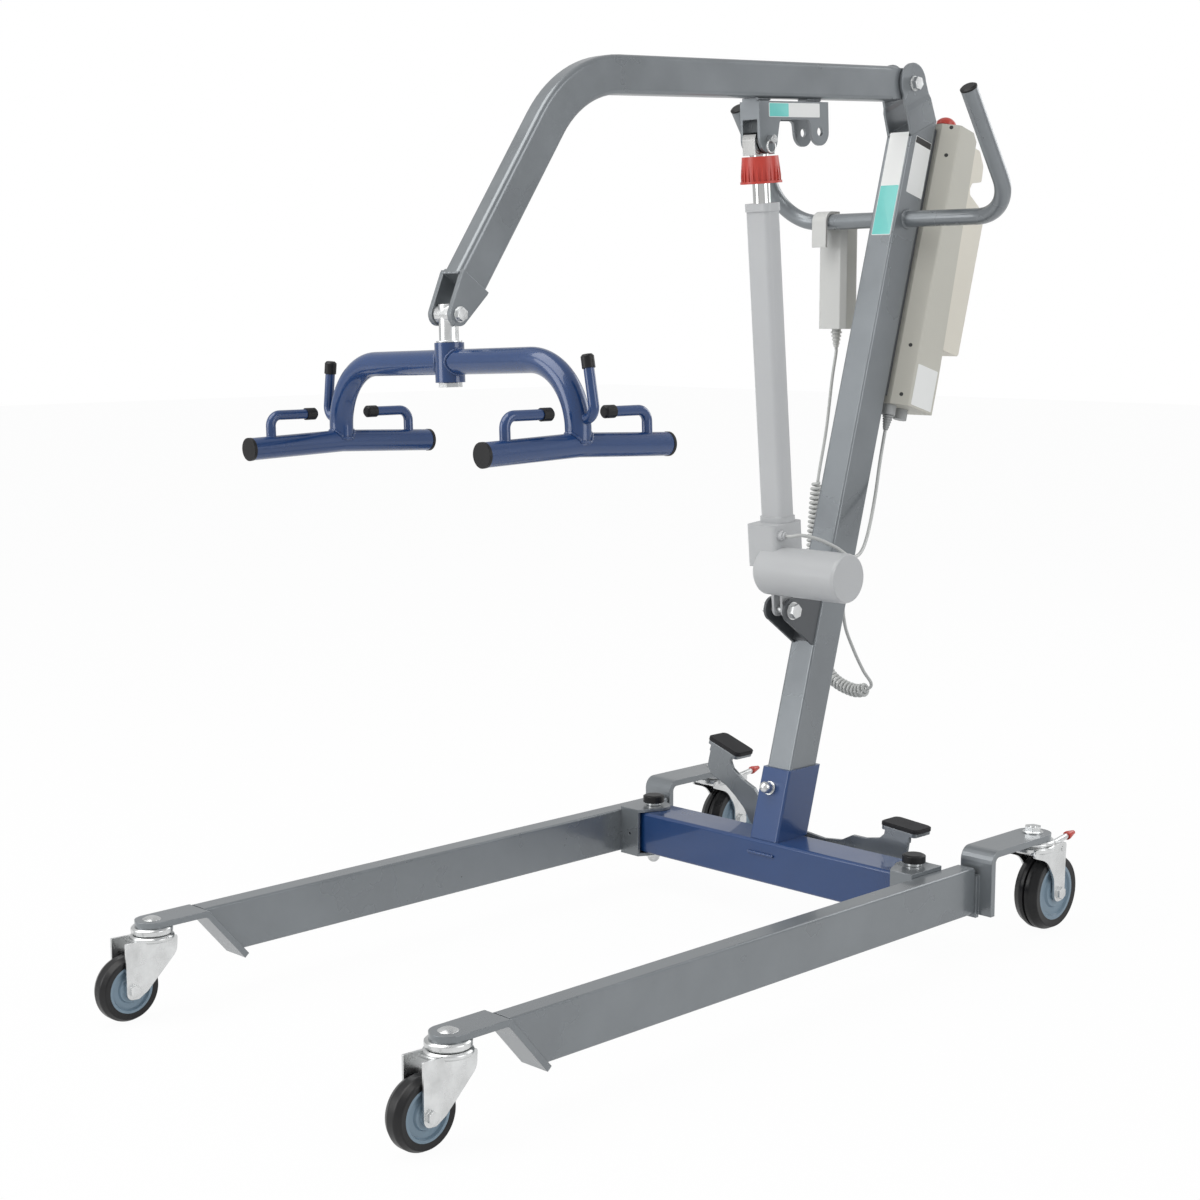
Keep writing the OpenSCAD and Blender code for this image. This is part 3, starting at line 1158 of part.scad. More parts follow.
module peg_cap() at_peg() translate([8 + hook_bend * sin(peg_a), hook_bend - hook_bend * cos(peg_a), 0])
    rotate([0, 0, peg_a]) translate([peg_l, 0, 0]) rotate([0, 90, 0]) {
        z_rod(hook_r + 1.3, 0, 12);
        translate([0, 0, 12]) cylinder(r1 = hook_r + 1.3, r2 = hook_r - 0.5, h = 2);
    }
module spreader_caps() color("black") at_spreader() for (s = [-1, 1]) side(s) {
    peg_cap();
    translate([arch_half, 0, arch_z - arch_drop]) {
        for (m = [-1, 1]) {
            rotate([-m * droop, 0, 0]) rotate([-90 * m, 0, 0]) {
                z_rod(cross_r + 0.4, cross_half, cross_half + 3.5);
                z_rod(cross_r - arch_wall, cross_half - 10, cross_half + 1);
            }
            translate([0, m * (cross_half - post_in - post_run), post_rise]) rotate([90 * m, 0, 0]) {
                z_rod(hook_r + 1.3, 0, 12);
                translate([0, 0, 12]) cylinder(r1 = hook_r + 1.3, r2 = hook_r - 0.5, h = 2);
            }
        }
    }
}

crossbeam();
mast_socket();
mast();
mast_ears();
mast_bracket();
bolts();
pivot_knobs();
handle();
handle_caps();
box_rail();
control_box();
plugs();
stop_stem();
estop();
battery();
handset();
button_up();
button_down();
handset_cord();
actuator_cable();
leg_tube_l();
leg_tube_r();
leg_bracket_l();
leg_bracket_r();
front_tab_l();
front_tab_r();
rear_arm_l();
rear_arm_r();
leg_fixings_l();
leg_fixings_r();
front_fork_l();
front_fork_r();
front_tyre_l();
front_tyre_r();
front_hub_l();
front_hub_r();
rear_fork_l();
rear_fork_r();
rear_tyre_l();
rear_tyre_r();
rear_hub_l();
rear_hub_r();
brake_l();
brake_r();
brake_tip_l();
brake_tip_r();
pedal_rocker();
pedal_pads();
tie_rod_l();
tie_rod_r();
boom();
boom_bracket();
boom_pins();
actuator_body();
actuator_tube();
actuator_rod();
release_ring();
hanger();
spreader();
spreader_caps();
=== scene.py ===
import json
import math

import bmesh
import bpy
from mathutils import Matrix, Vector


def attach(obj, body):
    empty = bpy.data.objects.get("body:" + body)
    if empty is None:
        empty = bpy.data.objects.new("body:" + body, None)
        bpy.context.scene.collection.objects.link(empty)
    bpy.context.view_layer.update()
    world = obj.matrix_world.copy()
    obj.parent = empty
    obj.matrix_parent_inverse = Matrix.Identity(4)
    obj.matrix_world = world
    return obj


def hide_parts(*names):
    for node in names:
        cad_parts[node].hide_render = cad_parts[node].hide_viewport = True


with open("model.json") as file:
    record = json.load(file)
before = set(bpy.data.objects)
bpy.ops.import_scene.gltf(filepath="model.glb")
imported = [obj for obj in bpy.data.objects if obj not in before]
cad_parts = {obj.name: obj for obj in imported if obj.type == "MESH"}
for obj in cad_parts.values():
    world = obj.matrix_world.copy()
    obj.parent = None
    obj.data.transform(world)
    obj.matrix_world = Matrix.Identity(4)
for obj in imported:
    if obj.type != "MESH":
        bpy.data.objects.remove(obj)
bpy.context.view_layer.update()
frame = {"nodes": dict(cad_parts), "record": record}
nodes = frame["nodes"]

# The solids' frame: millimetres with the leg pivots at Y = 0, moved so that the box is centred
SHIFT = 0.23989
TILT = math.radians(15.6)


def row(x, y, z):
    """A place in the solids' own millimetres, in the row frame in metres."""
    return Vector((x / 1000, y / 1000 + SHIFT, z / 1000))


def unit(v):
    return Vector(v).normalized()


def leaning(y0, z0, degrees):
    """Places in the own frame of a piece turned about X, as places in the row frame."""
    c, s = math.cos(math.radians(degrees)), math.sin(math.radians(degrees))
    return lambda x, y, z: row(x, y0 + y * c - z * s, z0 + y * s + z * c)


MAST_FOOT = 92.5
mast_at = leaning(-MAST_FOOT * math.tan(TILT), 0, -15.6)
boom_at = leaning(238.001, 1078.79, 3.1)


# Camera
AZ, EL = math.radians(45.23), math.radians(7.99)
back = Vector((math.sin(AZ) * math.cos(EL), -math.cos(AZ) * math.cos(EL), math.sin(EL)))
right = Vector((math.cos(AZ), math.sin(AZ), 0))
above = back.cross(right)
cam = bpy.data.objects.new("camera", bpy.data.cameras.new("camera"))
bpy.context.scene.collection.objects.link(cam)
cam.data.sensor_width = 36
cam.data.lens = 2065.76 * 36 / 1200
cam.data.clip_end = 60
turn = Matrix((right, above, back)).transposed().to_4x4()
cam.matrix_world = Matrix.Translation(row(1693.97, -2002.55, 785.59)) @ turn
bpy.context.scene.camera = cam


# Meshes
def piece(name, verts, faces, body, mat, smooth=40):
    me = bpy.data.meshes.new(name)
    me.from_pydata([tuple(v) for v in verts], [], faces)
    me.update()
    bm = bmesh.new()
    bm.from_mesh(me)
    bmesh.ops.recalc_face_normals(bm, faces=bm.faces)
    bm.to_mesh(me)
    bm.free()
    ob = bpy.data.objects.new(name, me)
    bpy.context.scene.collection.objects.link(ob)
    me.materials.append(mat)
    shade(ob, smooth)
    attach(ob, body)
    return ob


def shade(ob, angle=40):
    """Smooth faces, with edges sharper than the angle kept crisp."""
    me = ob.data
    me.polygons.foreach_set("use_smooth", [angle > 0] * len(me.polygons))
    bm = bmesh.new()
    bm.from_mesh(me)
    for e in bm.edges:
        two = len(e.link_faces) == 2
        e.smooth = two and e.calc_face_angle(3) < math.radians(angle)
    bm.to_mesh(me)
    bm.free()


def frames(path):
    """Directions along a path, with two square ones that turn as little as they can."""
    hint = Vector((0.3, 0.2, 1.0))
    n = len(path)
    t = [unit(path[min(i + 1, n - 1)] - path[max(i - 1, 0)]) for i in range(n)]
    u = unit(hint - t[0] * t[0].dot(hint))
    out = []
    for i in range(n):
        u = unit(u - t[i] * t[i].dot(u))
        out.append((t[i], u, t[i].cross(u)))
    return out


def tube(path, r, sides=12, closed=False):
    """Vertices and faces of a round tube; r is a radius, or gives one for each place on the path."""
    rad = r if callable(r) else (lambda i: r)
    f = frames(path)
    n = len(path)
    last = (n - 1) * sides
    v = [path[i] + rad(i) * (f[i][1] * math.cos(a) + f[i][2] * math.sin(a))
         for i in range(n) for a in [2 * math.pi * j / sides for j in range(sides)]]
    q = [(i * sides + j, i * sides + (j + 1) % sides, (i + 1) * sides + (j + 1) % sides, (i + 1) * sides + j)
         for i in range(n - 1) for j in range(sides)]
    if closed:
        q += [(last + j, last + (j + 1) % sides, (j + 1) % sides, j) for j in range(sides)]
    else:
        q += [tuple(range(sides))[::-1], tuple(last + j for j in range(sides))]
    return v, q


# Materials
def sock(node, **values):
    for k, v in values.items():
        k = k.replace("_", " ")
        if k in node.inputs:
            node.inputs[k].default_value = v


def material(name, color, rough=0.4, metal=0.0, coat=0.0, coat_rough=0.05, vary=0.06, grain=900.0, bump=0.03,
             blotch=6.0, rough_vary=0.08, edge=0.0, edge_highlight=0.0, spec=0.5):
    """Colour, roughness and relief from noise in the piece's own space, with softened edges and a painted highlight
    along the edges.
    """
    m = bpy.data.materials.new(name)
    m.use_nodes = True
    t = m.node_tree
    t.nodes.clear()
    new = t.nodes.new
    out = new("ShaderNodeOutputMaterial")
    p = new("ShaderNodeBsdfPrincipled")
    t.links.new(p.outputs[0], out.inputs[0])
    sock(p, Metallic=metal, Coat_Weight=coat, Coat_Roughness=coat_rough, Specular_IOR_Level=spec)
    co = new("ShaderNodeTexCoord")
    src = co.outputs["Object"]

    def noise(scale, detail=3.0, rough_=0.55):
        n = new("ShaderNodeTexNoise")
        sock(n, Scale=scale, Detail=detail, Roughness=rough_)
        t.links.new(src, n.inputs["Vector"])
        return n.outputs[0]

    def spread(value, lo, hi, a=0.3, b=0.7):
        r = new("ShaderNodeMapRange")
        sock(r, From_Min=a, From_Max=b, To_Min=lo, To_Max=hi)
        t.links.new(value, r.inputs[0])
        return r.outputs[0]

    big = noise(blotch, 4.0)
    fine = noise(grain, 2.0)
    hsv = new("ShaderNodeHueSaturation")
    sock(hsv, Color=(*color, 1))
    t.links.new(spread(big, 1 - vary, 1 + vary), hsv.inputs["Value"])
    col = hsv.outputs[0]
    # Painted highlight: edges are mixed towards a lighter tone of the colour, broken up by noise, to stand in for
    # the highlights that light puts along edges.
    if edge_highlight > 0:
        bev = new("ShaderNodeBevel")
        bev.samples = 4
        sock(bev, Radius=0.0018)
        geo = new("ShaderNodeNewGeometry")
        dot = new("ShaderNodeVectorMath")
        dot.operation = "DOT_PRODUCT"
        t.links.new(bev.outputs[0], dot.inputs[0])
        t.links.new(geo.outputs["Normal"], dot.inputs[1])
        lim = new("ShaderNodeMath")
        lim.operation = "MULTIPLY"
        t.links.new(spread(dot.outputs["Value"], 1, 0, 0.9, 0.99), lim.inputs[0])
        t.links.new(spread(noise(60.0, 5.0), 0, edge_highlight, 0.45, 0.65), lim.inputs[1])
        mix = new("ShaderNodeMix")
        mix.data_type = "RGBA"
        t.links.new(lim.outputs[0], mix.inputs["Factor"])
        t.links.new(col, mix.inputs[6])
        mix.inputs[7].default_value = (*[min(1, c * 1.6 + 0.12) for c in color], 1)
        col = mix.outputs[2]
    t.links.new(col, p.inputs["Base Color"])
    t.links.new(spread(big, max(0.02, rough - rough_vary), rough + rough_vary), p.inputs["Roughness"])
    b = new("ShaderNodeBump")
    sock(b, Strength=1.0, Distance=bump / 1000)
    t.links.new(fine, b.inputs["Height"])
    if edge > 0:
        round_ = new("ShaderNodeBevel")
        round_.samples = 6
        sock(round_, Radius=edge / 1000)
        t.links.new(round_.outputs[0], b.inputs["Normal"])
    t.links.new(b.outputs[0], p.inputs["Normal"])
    return m


grey = material("grey_paint", (0.212, 0.230, 0.245), rough=0.30, metal=0.5, coat=0.4, coat_rough=0.06,
                vary=0.09, grain=700, bump=0.03, blotch=9, rough_vary=0.08, edge=1.4, edge_highlight=0.35)
blue = material("blue_paint", (0.007, 0.044, 0.160), rough=0.30, metal=0.1, coat=0.7, coat_rough=0.04,
                vary=0.08, grain=900, bump=0.03, blotch=7, rough_vary=0.06, edge=1.4, edge_highlight=0.2)
dark = material("dark_paint", (0.085, 0.092, 0.10), rough=0.38, metal=0.2, coat=0.2, coat_rough=0.1,
                vary=0.06, grain=900, bump=0.03, blotch=6, rough_vary=0.05, edge=1.0, edge_highlight=0.3)
zinc = material("zinc", (0.70, 0.71, 0.71), rough=0.28, metal=1.0, coat=0, coat_rough=0.05, vary=0.14,
                grain=260, bump=0.03, blotch=45, rough_vary=0.10, edge=0.6)
chrome = material("chrome", (0.66, 0.66, 0.65), rough=0.12, metal=1.0, coat=0, coat_rough=0.05, vary=0.03,
                  grain=1400, bump=0.004, blotch=8, rough_vary=0.03, edge=0.3)
black = material("black_plastic", (0.012, 0.012, 0.013), rough=0.38, metal=0, coat=0, coat_rough=0.05,
                 vary=0.12, grain=1500, bump=0.03, blotch=20, rough_vary=0.06, edge=0.6, edge_highlight=0, spec=0.28)
pad = material("pad_rubber", (0.018, 0.018, 0.020), rough=0.55, metal=0, coat=0, coat_rough=0.05, vary=0.12,
               grain=800, bump=0.08, blotch=20, rough_vary=0.06, edge=0.8, edge_highlight=0, spec=0.25)
soft_grey = material("grey_plastic", (0.34, 0.35, 0.35), rough=0.5, metal=0, coat=0, coat_rough=0.05,
                     vary=0.05, grain=1500, bump=0.02, blotch=12, rough_vary=0.05, edge=0.5)
red = material("red_plastic", (0.50, 0.045, 0.03), rough=0.34, metal=0, coat=0.15, coat_rough=0.1, vary=0.08,
               grain=1200, bump=0.03, blotch=10, rough_vary=0.05, edge=0.5)
beige = material("beige_plastic", (0.52, 0.51, 0.455), rough=0.46, metal=0, coat=0, coat_rough=0.05,
                 vary=0.03, grain=1900, bump=0.03, blotch=6, rough_vary=0.04, edge=0.8)
cream = material("cream_plastic", (0.70, 0.67, 0.59), rough=0.44, metal=0, coat=0, coat_rough=0.05, vary=0.03,
                 grain=1900, bump=0.03, blotch=6, rough_vary=0.04, edge=0.8)
light = material("light_plastic", (0.58, 0.585, 0.57), rough=0.40, metal=0, coat=0.1, coat_rough=0.1,
                 vary=0.03, grain=1500, bump=0.015, blotch=6, rough_vary=0.04, edge=0.8)
case = material("light_case", (0.48, 0.49, 0.50), rough=0.38, metal=0, coat=0.2, coat_rough=0.1, vary=0.03,
                grain=1300, bump=0.02, blotch=6, rough_vary=0.04, edge=0.8)
tyre = material("tyre_rubber", (0.014, 0.014, 0.015), rough=0.32, metal=0, coat=0, coat_rough=0.05, vary=0.15,
                grain=700, bump=0.04, blotch=25, rough_vary=0.08, edge=0.4, edge_highlight=0, spec=0.32)
hub = material("hub_plastic", (0.19, 0.27, 0.34), rough=0.34, metal=0, coat=0.1, coat_rough=0.1, vary=0.06,
               grain=1300, bump=0.02, blotch=12, rough_vary=0.05, edge=0.4)
paper = material("blank_label", (0.80, 0.81, 0.80), rough=0.34, metal=0, coat=0.2, coat_rough=0.1, vary=0.02,
                 grain=1500, bump=0.01, blotch=8, rough_vary=0.04)
teal = material("teal_label", (0.16, 0.60, 0.56), rough=0.34, metal=0, coat=0.2, coat_rough=0.1, vary=0.05,
                grain=1500, bump=0.01, blotch=20, rough_vary=0.04)
# Dark print on a label, and painted shade: dark discs that stand in for the shade inside screw holes
print_and_hole_shade = material("dark_print_and_painted_hole_shade", (0.03, 0.03, 0.03), rough=0.6, metal=0, coat=0, coat_rough=0.05, vary=0.1,
                grain=900, bump=0.02, blotch=20, rough_vary=0.05)
cordm = material("cord_plastic", (0.50, 0.51, 0.50), rough=0.42, metal=0, coat=0, coat_rough=0.05, vary=0.04,
                 grain=1500, bump=0.01, blotch=12, rough_vary=0.05)

FINISH = {
    "blue_paint": blue, "grey_paint": grey, "dark_paint": dark, "zinc": zinc, "chrome": chrome,
    "black_plastic": black, "grey_plastic": soft_grey, "red_plastic": red, "beige_plastic": beige,
    "cream_plastic": cream, "light_plastic": light, "light_case": case, "tyre_rubber": tyre,
    "hub_plastic": hub, "cord_plastic": cordm, "pad_rubber": pad,
}
for part in frame["record"]["subparts"]:
    ob = nodes[part["node"]]
    ob.data.materials.clear()
    ob.data.materials.append(FINISH[part["material_slot"]])


# Cords
def spline(p, i, t):
    a, b, c, d = p[max(i - 1, 0)], p[i], p[min(i + 1, len(p) - 1)], p[min(i + 2, len(p) - 1)]
    return 0.5 * (2 * b + (c - a) * t + (2 * a - 5 * b + 4 * c - d) * t * t + (3 * b - a - 3 * c + d) * t ** 3)


def route(points, k):
    p = [Vector(q) for q in points]
    return [spline(p, i, j / k) for i in range(len(p) - 1) for j in range(k)] + [p[-1]]


def lengths(q):
    """The distance of each point from the first."""
    out = [0.0]
    for a, b in zip(q, q[1:]):
        out.append(out[-1] + (b - a).length)
    return out


def along(q, l, x):
    """The place at the distance x along the points q, whose own distances are l."""
    x0 = min(max(x, 0), l[-1] - 0.01)
    i = max(j for j in range(len(l) - 1) if l[j] <= x0)
    return q[i] + (q[i + 1] - q[i]) * ((x - l[i]) / (l[i + 1] - l[i]))


down = Vector((0, -math.sin(TILT), -math.cos(TILT)))
gland = Vector((33, -26.2497, 505.445))
plug_a = Vector((14, 196.348, 628.402))
plug_b = Vector((-12, 198.274, 627.864))
cable_mid = [(20, 178, 586), (32, 154, 545), (48, 122, 507), (66, 88, 486), (80, 58, 478), (84, 36, 479),
             (77, 18, 491), (64, -2, 502), (51, -18, 507)]
cable_points = [plug_a, plug_a + 6 * down] + cable_mid + [gland + Vector((8, 0, 0)), gland + Vector((0.3, 0, 0))]
line = route(cable_points, 16)
at = lengths(line)
CABLE_STEPS = 120
path = [row(*along(line, at, at[-1] * i / CABLE_STEPS)) for i in range(CABLE_STEPS + 1)]
v, f = tube(path, 0.00225, 14)
cable = piece("motor_cable", v, f, "base", cordm, 60)
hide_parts("actuator_cable")

start = Vector((-117, 253.355, 734.628))
cord_mid = [(-119, 248, 690), (-124, 243, 620), (-131, 235, 549), (-132, 230, 490), (-130, 224, 430),
            (-122, 217, 370), (-104, 209, 318), (-74, 202, 284), (-34, 198, 272), (-8, 196, 277), (4, 189, 287),
            (3, 172, 307), (1, 152, 339), (-1, 136, 374), (-5, 136, 420), (-10, 150, 480), (-12, 168, 546)]
line = route([start, start - Vector((0, 0, 8))] + cord_mid + [plug_b + 8 * down, plug_b + 0.3 * down], 10)
at = lengths(line)
# Places in millimetres along the route: straight to the first curl, the curls, straight to the plug
CURLS, CURL_R, RINGS, STEP, TIP = 54, 7.3, 16, 4.5, 4.4
first, last = at[40], at[110]
pitch = (last - first) / CURLS
stops = [0, TIP] + [10 + STEP * i for i in range(int((first - 14) / STEP) + 1)]
stops += [first + i * pitch / RINGS for i in range(CURLS * RINGS + 1)]
stops += [last + 3 * i for i in range(1, 18)]
stops += [x for x in (last + 55 + STEP * i for i in range(400)) if x < at[-1] - 6]
stops += [at[-1] - TIP, at[-1]]
path = []
for x in stops:
    ahead = unit(along(line, at, x + 1) - along(line, at, x - 1))
    aside = unit(Vector((0, 1, 0)) - ahead * ahead.y)
    across = ahead.cross(aside)
    turned = 2 * math.pi * min(max(x - first, 0), last - first) / pitch
    wide = CURL_R * min(1, max(0, min(x - first, last - x) / (0.75 * pitch)))
    path.append(row(*(along(line, at, x) + wide * (aside * math.cos(turned) + across * math.sin(turned)))))
v, f = tube(path, 0.0022, 12)
curly = piece("curly_cord", v, f, "base", cordm, 60)
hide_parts("handset_cord")


# Bare labels, painted shade for screw holes, and weld beads
def sheet(name, at, span, rise, mat, body, r=1.5, low=0.0, thick=0.2):
    """A thin sheet with round corners; at(u, v, out) is a place out millimetres above a face."""
    (u0, u1), (v0, v1) = span, rise
    edge = []
    for k, (u, v) in enumerate([(u1 - r, v1 - r), (u0 + r, v1 - r), (u0 + r, v0 + r), (u1 - r, v0 + r)]):
        for j in range(7):
            a = math.pi / 2 * (k + j / 6)
            edge.append((u, v, math.cos(a), math.sin(a)))
    verts = [at(u + (r - inset) * c, v + (r - inset) * s, low + thick * out)
             for inset, out in ((0, 0), (0, 0.6), (0.12, 1)) for u, v, c, s in edge]
    n = len(edge)
    faces = [(i * n + j, i * n + (j + 1) % n, (i + 1) * n + (j + 1) % n, (i + 1) * n + j)
             for i in range(2) for j in range(n)]
    faces += [tuple(range(n)), tuple(2 * n + j for j in range(n))]
    return piece(name, verts, faces, body, mat, 30)


def bead(name, points, r, mat, body, closed=False):
    """A weld bead along a line, its ripples about as long as it is wide."""
    points = [1000 * q for q in points]
    l = lengths(points)
    n = max(8, int(l[-1] / 1.1))
    path = [along(points, l, l[-1] * i / n) / 1000 for i in range(n + (0 if closed else 1))]
    ripple = [r / 1000 * (1 + 0.16 * math.cos(2 * math.pi * i / 3) + 0.1 * math.sin(i * 0.9)) for i in range(n + 1)]
    v, f = tube(path, lambda i: ripple[i], 8, closed=closed)
    return piece(name, v, f, body, mat, 80)


def straight(a, b):
    return [a + (b - a) * (i / 8) for i in range(9)]


MAST_FRONT, MAST_SIDE, BOX_SIDE, BRACKET_SIDE = -25, 20, 44, 15.5


def on_front(u, v, out):
    return mast_at(u, MAST_FRONT - out, v)


def on_side(u, v, out):
    return mast_at(MAST_SIDE + out, u, v)


def on_box(u, v, out):
    return mast_at(BOX_SIDE + out, u, v)


def on_bracket(u, v, out):
    return boom_at(BRACKET_SIDE + out, u, v)


BAND_LOW, BAND_THICK = 0.2, 0.06
sheet("mast_label", on_front, (-14, 16.6), (910, 1049), paper, "base")
sheet("mast_label_band", on_front, (-13.4, 16), (911, 977), teal, "base", 1,
      BAND_LOW, BAND_THICK)
sheet("mast_side_label", on_side, (-13, 21.5), (972, 1048), paper, "base")
sheet("mast_side_band", on_side, (-12.4, 21), (1039, 1047.4), print_and_hole_shade, "base", 0.8,
      BAND_LOW, BAND_THICK)
sheet("box_label", on_box, (50, 95), (702, 757), paper, "base")
sheet("bracket_label", on_bracket, (-289, -192), (-45, -28), paper, "boom")
sheet("bracket_label_band", on_bracket, (-288, -252), (-44.4, -28.6), teal, "boom", 0.8,
      BAND_LOW, BAND_THICK)

# The box's front chamfer runs from the rail's edge to the side, 22 across and 12 back
SLOPE_X, SLOPE_Y, EDGE_X, EDGE_Y = 22, 12, 33, 40
SLOPE = math.hypot(SLOPE_X, SLOPE_Y)
# Painted shade: thin dark discs on the chamfer stand in for the shade inside the screw holes
for k, height in enumerate((1076, 1038, 779.5, 713)):
    for side, sign in (("r", 1), ("l", -1)):
        def on_slope(u, v, o):
            return mast_at(sign * (EDGE_X + (SLOPE_X * u + SLOPE_Y * o) / SLOPE),
                           EDGE_Y + (SLOPE_Y * u - SLOPE_X * o) / SLOPE, height + v)
        sheet("screw_hole_painted_shade_%s%d" % (side, k), on_slope, (-2.6, 2.6), (-2.6, 2.6), print_and_hole_shade,
              "base", 2.55, 0, 0.08)

for side, x in (("r", 23.3), ("l", -23.3)):
    bead("socket_bead_" + side, straight(row(x, -28, 93), row(x, 28, 93)), 2.2, blue, "base")
    for k, y in enumerate((-302.3, -205.6)):
        bead("tab_bead_%s%d" % (side, k), straight(boom_at(math.copysign(6.4, x), y, -23.2),
             boom_at(math.copysign(6.4, x), y + 26, -23.2)), 1.6, grey, "boom")
    spot = Vector((math.copysign(20.3, x), 226.555, 903.928))
    loop = [spot + Vector((0, 11.6 * math.cos(a), 11.6 * math.sin(a)))
            for a in (2 * math.pi * i / 48 for i in range(49))]
    bead("handle_bead_" + side, [row(*place) for place in loop], 1.7, grey, "base", True)


def spread_at(x, y, z):
    """Places in the spreader's own frame, which is turned and leans by two degrees."""
    t = math.radians(2)
    x, y = x * math.cos(t) + y * math.sin(t), y * math.cos(t) - x * math.sin(t)
    return row(x * math.cos(t) - z * math.sin(t), y - 550.211, 781.009 + x * math.sin(t) + z * math.cos(t))


def round_about(f):
    return [f(math.cos(a), math.sin(a)) for a in (2 * math.pi * i / 64 for i in range(65))]


HUB_R, ARCH_R, CROSS_R, ARCH_Z, ARCH_HALF, ARCH_DROP = 16, 13.7, 12.5, -50.6, 202, 86
for side, sign in (("r", 1), ("l", -1)):
    hub_ring = round_about(lambda c, d: spread_at(
        sign * math.sqrt(HUB_R ** 2 - (ARCH_R * c) ** 2) + sign * 0.5, ARCH_R * c, ARCH_Z + ARCH_R * d))
    bead("hub_bead_" + side, hub_ring, 1.7, blue, "spreader", True)
    cross_ring = round_about(lambda c, d: spread_at(
        sign * ARCH_HALF + ARCH_R * c, ARCH_R * d,
        ARCH_Z - ARCH_DROP + math.sqrt(max(9, CROSS_R ** 2 - (ARCH_R * c) ** 2))))
    bead("cross_bead_" + side, cross_ring, 1.8, blue, "spreader", True)
bead("socket_bead_front", straight(row(-21, -31, 91.5), row(21, -31, 91.5)), 1.8, blue, "base")

# The fork's end plate is welded round the end of the boom
BEND, BOOM_L, BOOM_DROP = math.radians(52.4), 607, 321.5


def fork_at(x, y, z):
    y -= BOOM_DROP
    return boom_at(x, y * math.cos(BEND) - z * math.sin(BEND) - BOOM_L, y * math.sin(BEND) + z * math.cos(BEND))


for side, sign in (("r", 1), ("l", -1)):
    bead("fork_bead_" + side, straight(fork_at(sign * 13.9, 43, -20), fork_at(sign * 13.9, 43, 20)), 1.7,
         grey, "boom")
    bead("fork_seam_" + side, straight(fork_at(-13, 38.7, sign * 21.4), fork_at(13, 38.7, sign * 21.4)), 1.5,
         grey, "boom")


# Stage: how much of the pale floor and sky a mirror sees
FLOOR_GLOSSY, SKY_GLOSSY = 0.45, 0.34


def emission_mix(name, base, seen, share):
    """A floor that the camera and mirrors see pale, and that still takes the shadow."""
    m = bpy.data.materials.new(name)
    m.use_nodes = True
    t = m.node_tree
    t.nodes.clear()
    out = t.nodes.new("ShaderNodeOutputMaterial")
    dif = t.nodes.new("ShaderNodeBsdfDiffuse")
    dif.inputs[0].default_value = (*base, 1)
    em = t.nodes.new("ShaderNodeEmission")
    em.inputs[0].default_value = (*seen, 1)
    lp = t.nodes.new("ShaderNodeLightPath")
    mul = t.nodes.new("ShaderNodeMath")
    mul.operation = "MULTIPLY"
    mul.inputs[1].default_value = share
    add = t.nodes.new("ShaderNodeMath")
    add.operation = "ADD"
    add.use_clamp = True
    mx = t.nodes.new("ShaderNodeMixShader")
    less = t.nodes.new("ShaderNodeMath")
    less.operation = "MULTIPLY"
    less.inputs[1].default_value = FLOOR_GLOSSY
    t.links.new(lp.outputs["Is Camera Ray"], add.inputs[0])
    t.links.new(lp.outputs["Is Glossy Ray"], less.inputs[0])
    t.links.new(less.outputs[0], add.inputs[1])
    t.links.new(add.outputs[0], mul.inputs[0])
    t.links.new(mul.outputs[0], mx.inputs[0])
    t.links.new(dif.outputs[0], mx.inputs[1])
    t.links.new(em.outputs[0], mx.inputs[2])
    t.links.new(mx.outputs[0], out.inputs[0])
    return m


me = bpy.data.meshes.new("floor")
me.from_pydata([(-14, -14, -0.001), (14, -14, -0.001), (14, 14, -0.001), (-14, 14, -0.001)], [], [(0, 1, 2, 3)])
floor = bpy.data.objects.new("floor", me)
bpy.context.scene.collection.objects.link(floor)
me.materials.append(emission_mix("floor_white", (0.86, 0.86, 0.86), (1, 1, 1), 0.965))

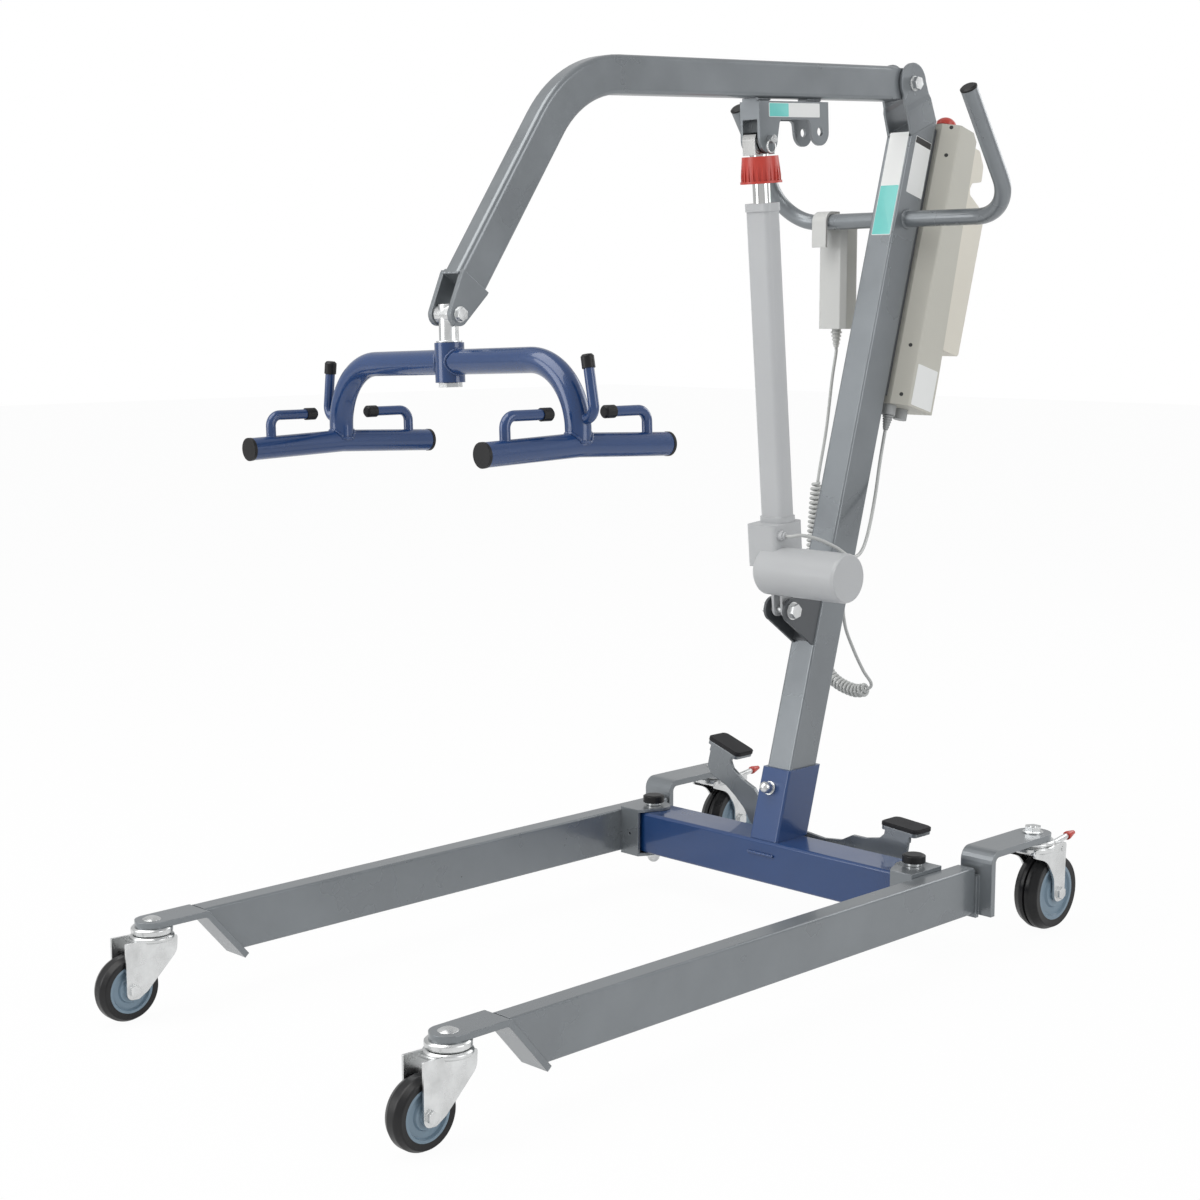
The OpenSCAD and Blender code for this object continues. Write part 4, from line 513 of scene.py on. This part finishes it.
world = bpy.data.worlds.new("world")
bpy.context.scene.world = world
world.use_nodes = True
wt = world.node_tree
wt.nodes.clear()
wo = wt.nodes.new("ShaderNodeOutputWorld")
lit = wt.nodes.new("ShaderNodeBackground")
lit.inputs[0].default_value = (0.97, 0.985, 1.0, 1)
lit.inputs[1].default_value = 0.42
seen = wt.nodes.new("ShaderNodeBackground")
seen.inputs[0].default_value = (1, 1, 1, 1)
seen.inputs[1].default_value = 1.0
lp = wt.nodes.new("ShaderNodeLightPath")
add = wt.nodes.new("ShaderNodeMath")
add.operation = "ADD"
add.use_clamp = True
add2 = wt.nodes.new("ShaderNodeMath")
add2.operation = "ADD"
add2.use_clamp = True
mx = wt.nodes.new("ShaderNodeMixShader")
wt.links.new(lp.outputs["Is Camera Ray"], add.inputs[0])
half = wt.nodes.new("ShaderNodeMath")
half.operation = "MULTIPLY"
half.inputs[1].default_value = SKY_GLOSSY
wt.links.new(lp.outputs["Is Glossy Ray"], half.inputs[0])
wt.links.new(half.outputs[0], add.inputs[1])
wt.links.new(add.outputs[0], add2.inputs[0])
wt.links.new(lp.outputs["Is Transmission Ray"], add2.inputs[1])
wt.links.new(add2.outputs[0], mx.inputs[0])
wt.links.new(lit.outputs[0], mx.inputs[1])
wt.links.new(seen.outputs[0], mx.inputs[2])
wt.links.new(mx.outputs[0], wo.inputs[0])


def lamp(name, place, aim, size, power, color=(1, 1, 1)):
    data = bpy.data.lights.new(name, "AREA")
    data.shape = "RECTANGLE"
    data.size, data.size_y = size
    data.energy = power
    data.color = color
    ob = bpy.data.objects.new(name, data)
    bpy.context.scene.collection.objects.link(ob)
    ob.location = place
    ob.rotation_euler = (Vector(aim) - Vector(place)).to_track_quat("-Z", "Y").to_euler()
    return ob


lamp("key", (-0.6, -1.6, 3.2), (0, 0, 0.5), (2.6, 2.6), 62, (1, 0.99, 0.97))
lamp("side", (3.0, 0.6, 1.5), (0, 0, 0.5), (1.6, 2.2), 27)
lamp("front", (-1.6, -3.2, 1.4), (0, 0, 0.5), (1.8, 2.0), 36)
lamp("rear", (0.5, 3.0, 1.8), (0, 0, 0.6), (2.0, 1.6), 20)

bpy.context.scene.view_settings.view_transform = "Standard"
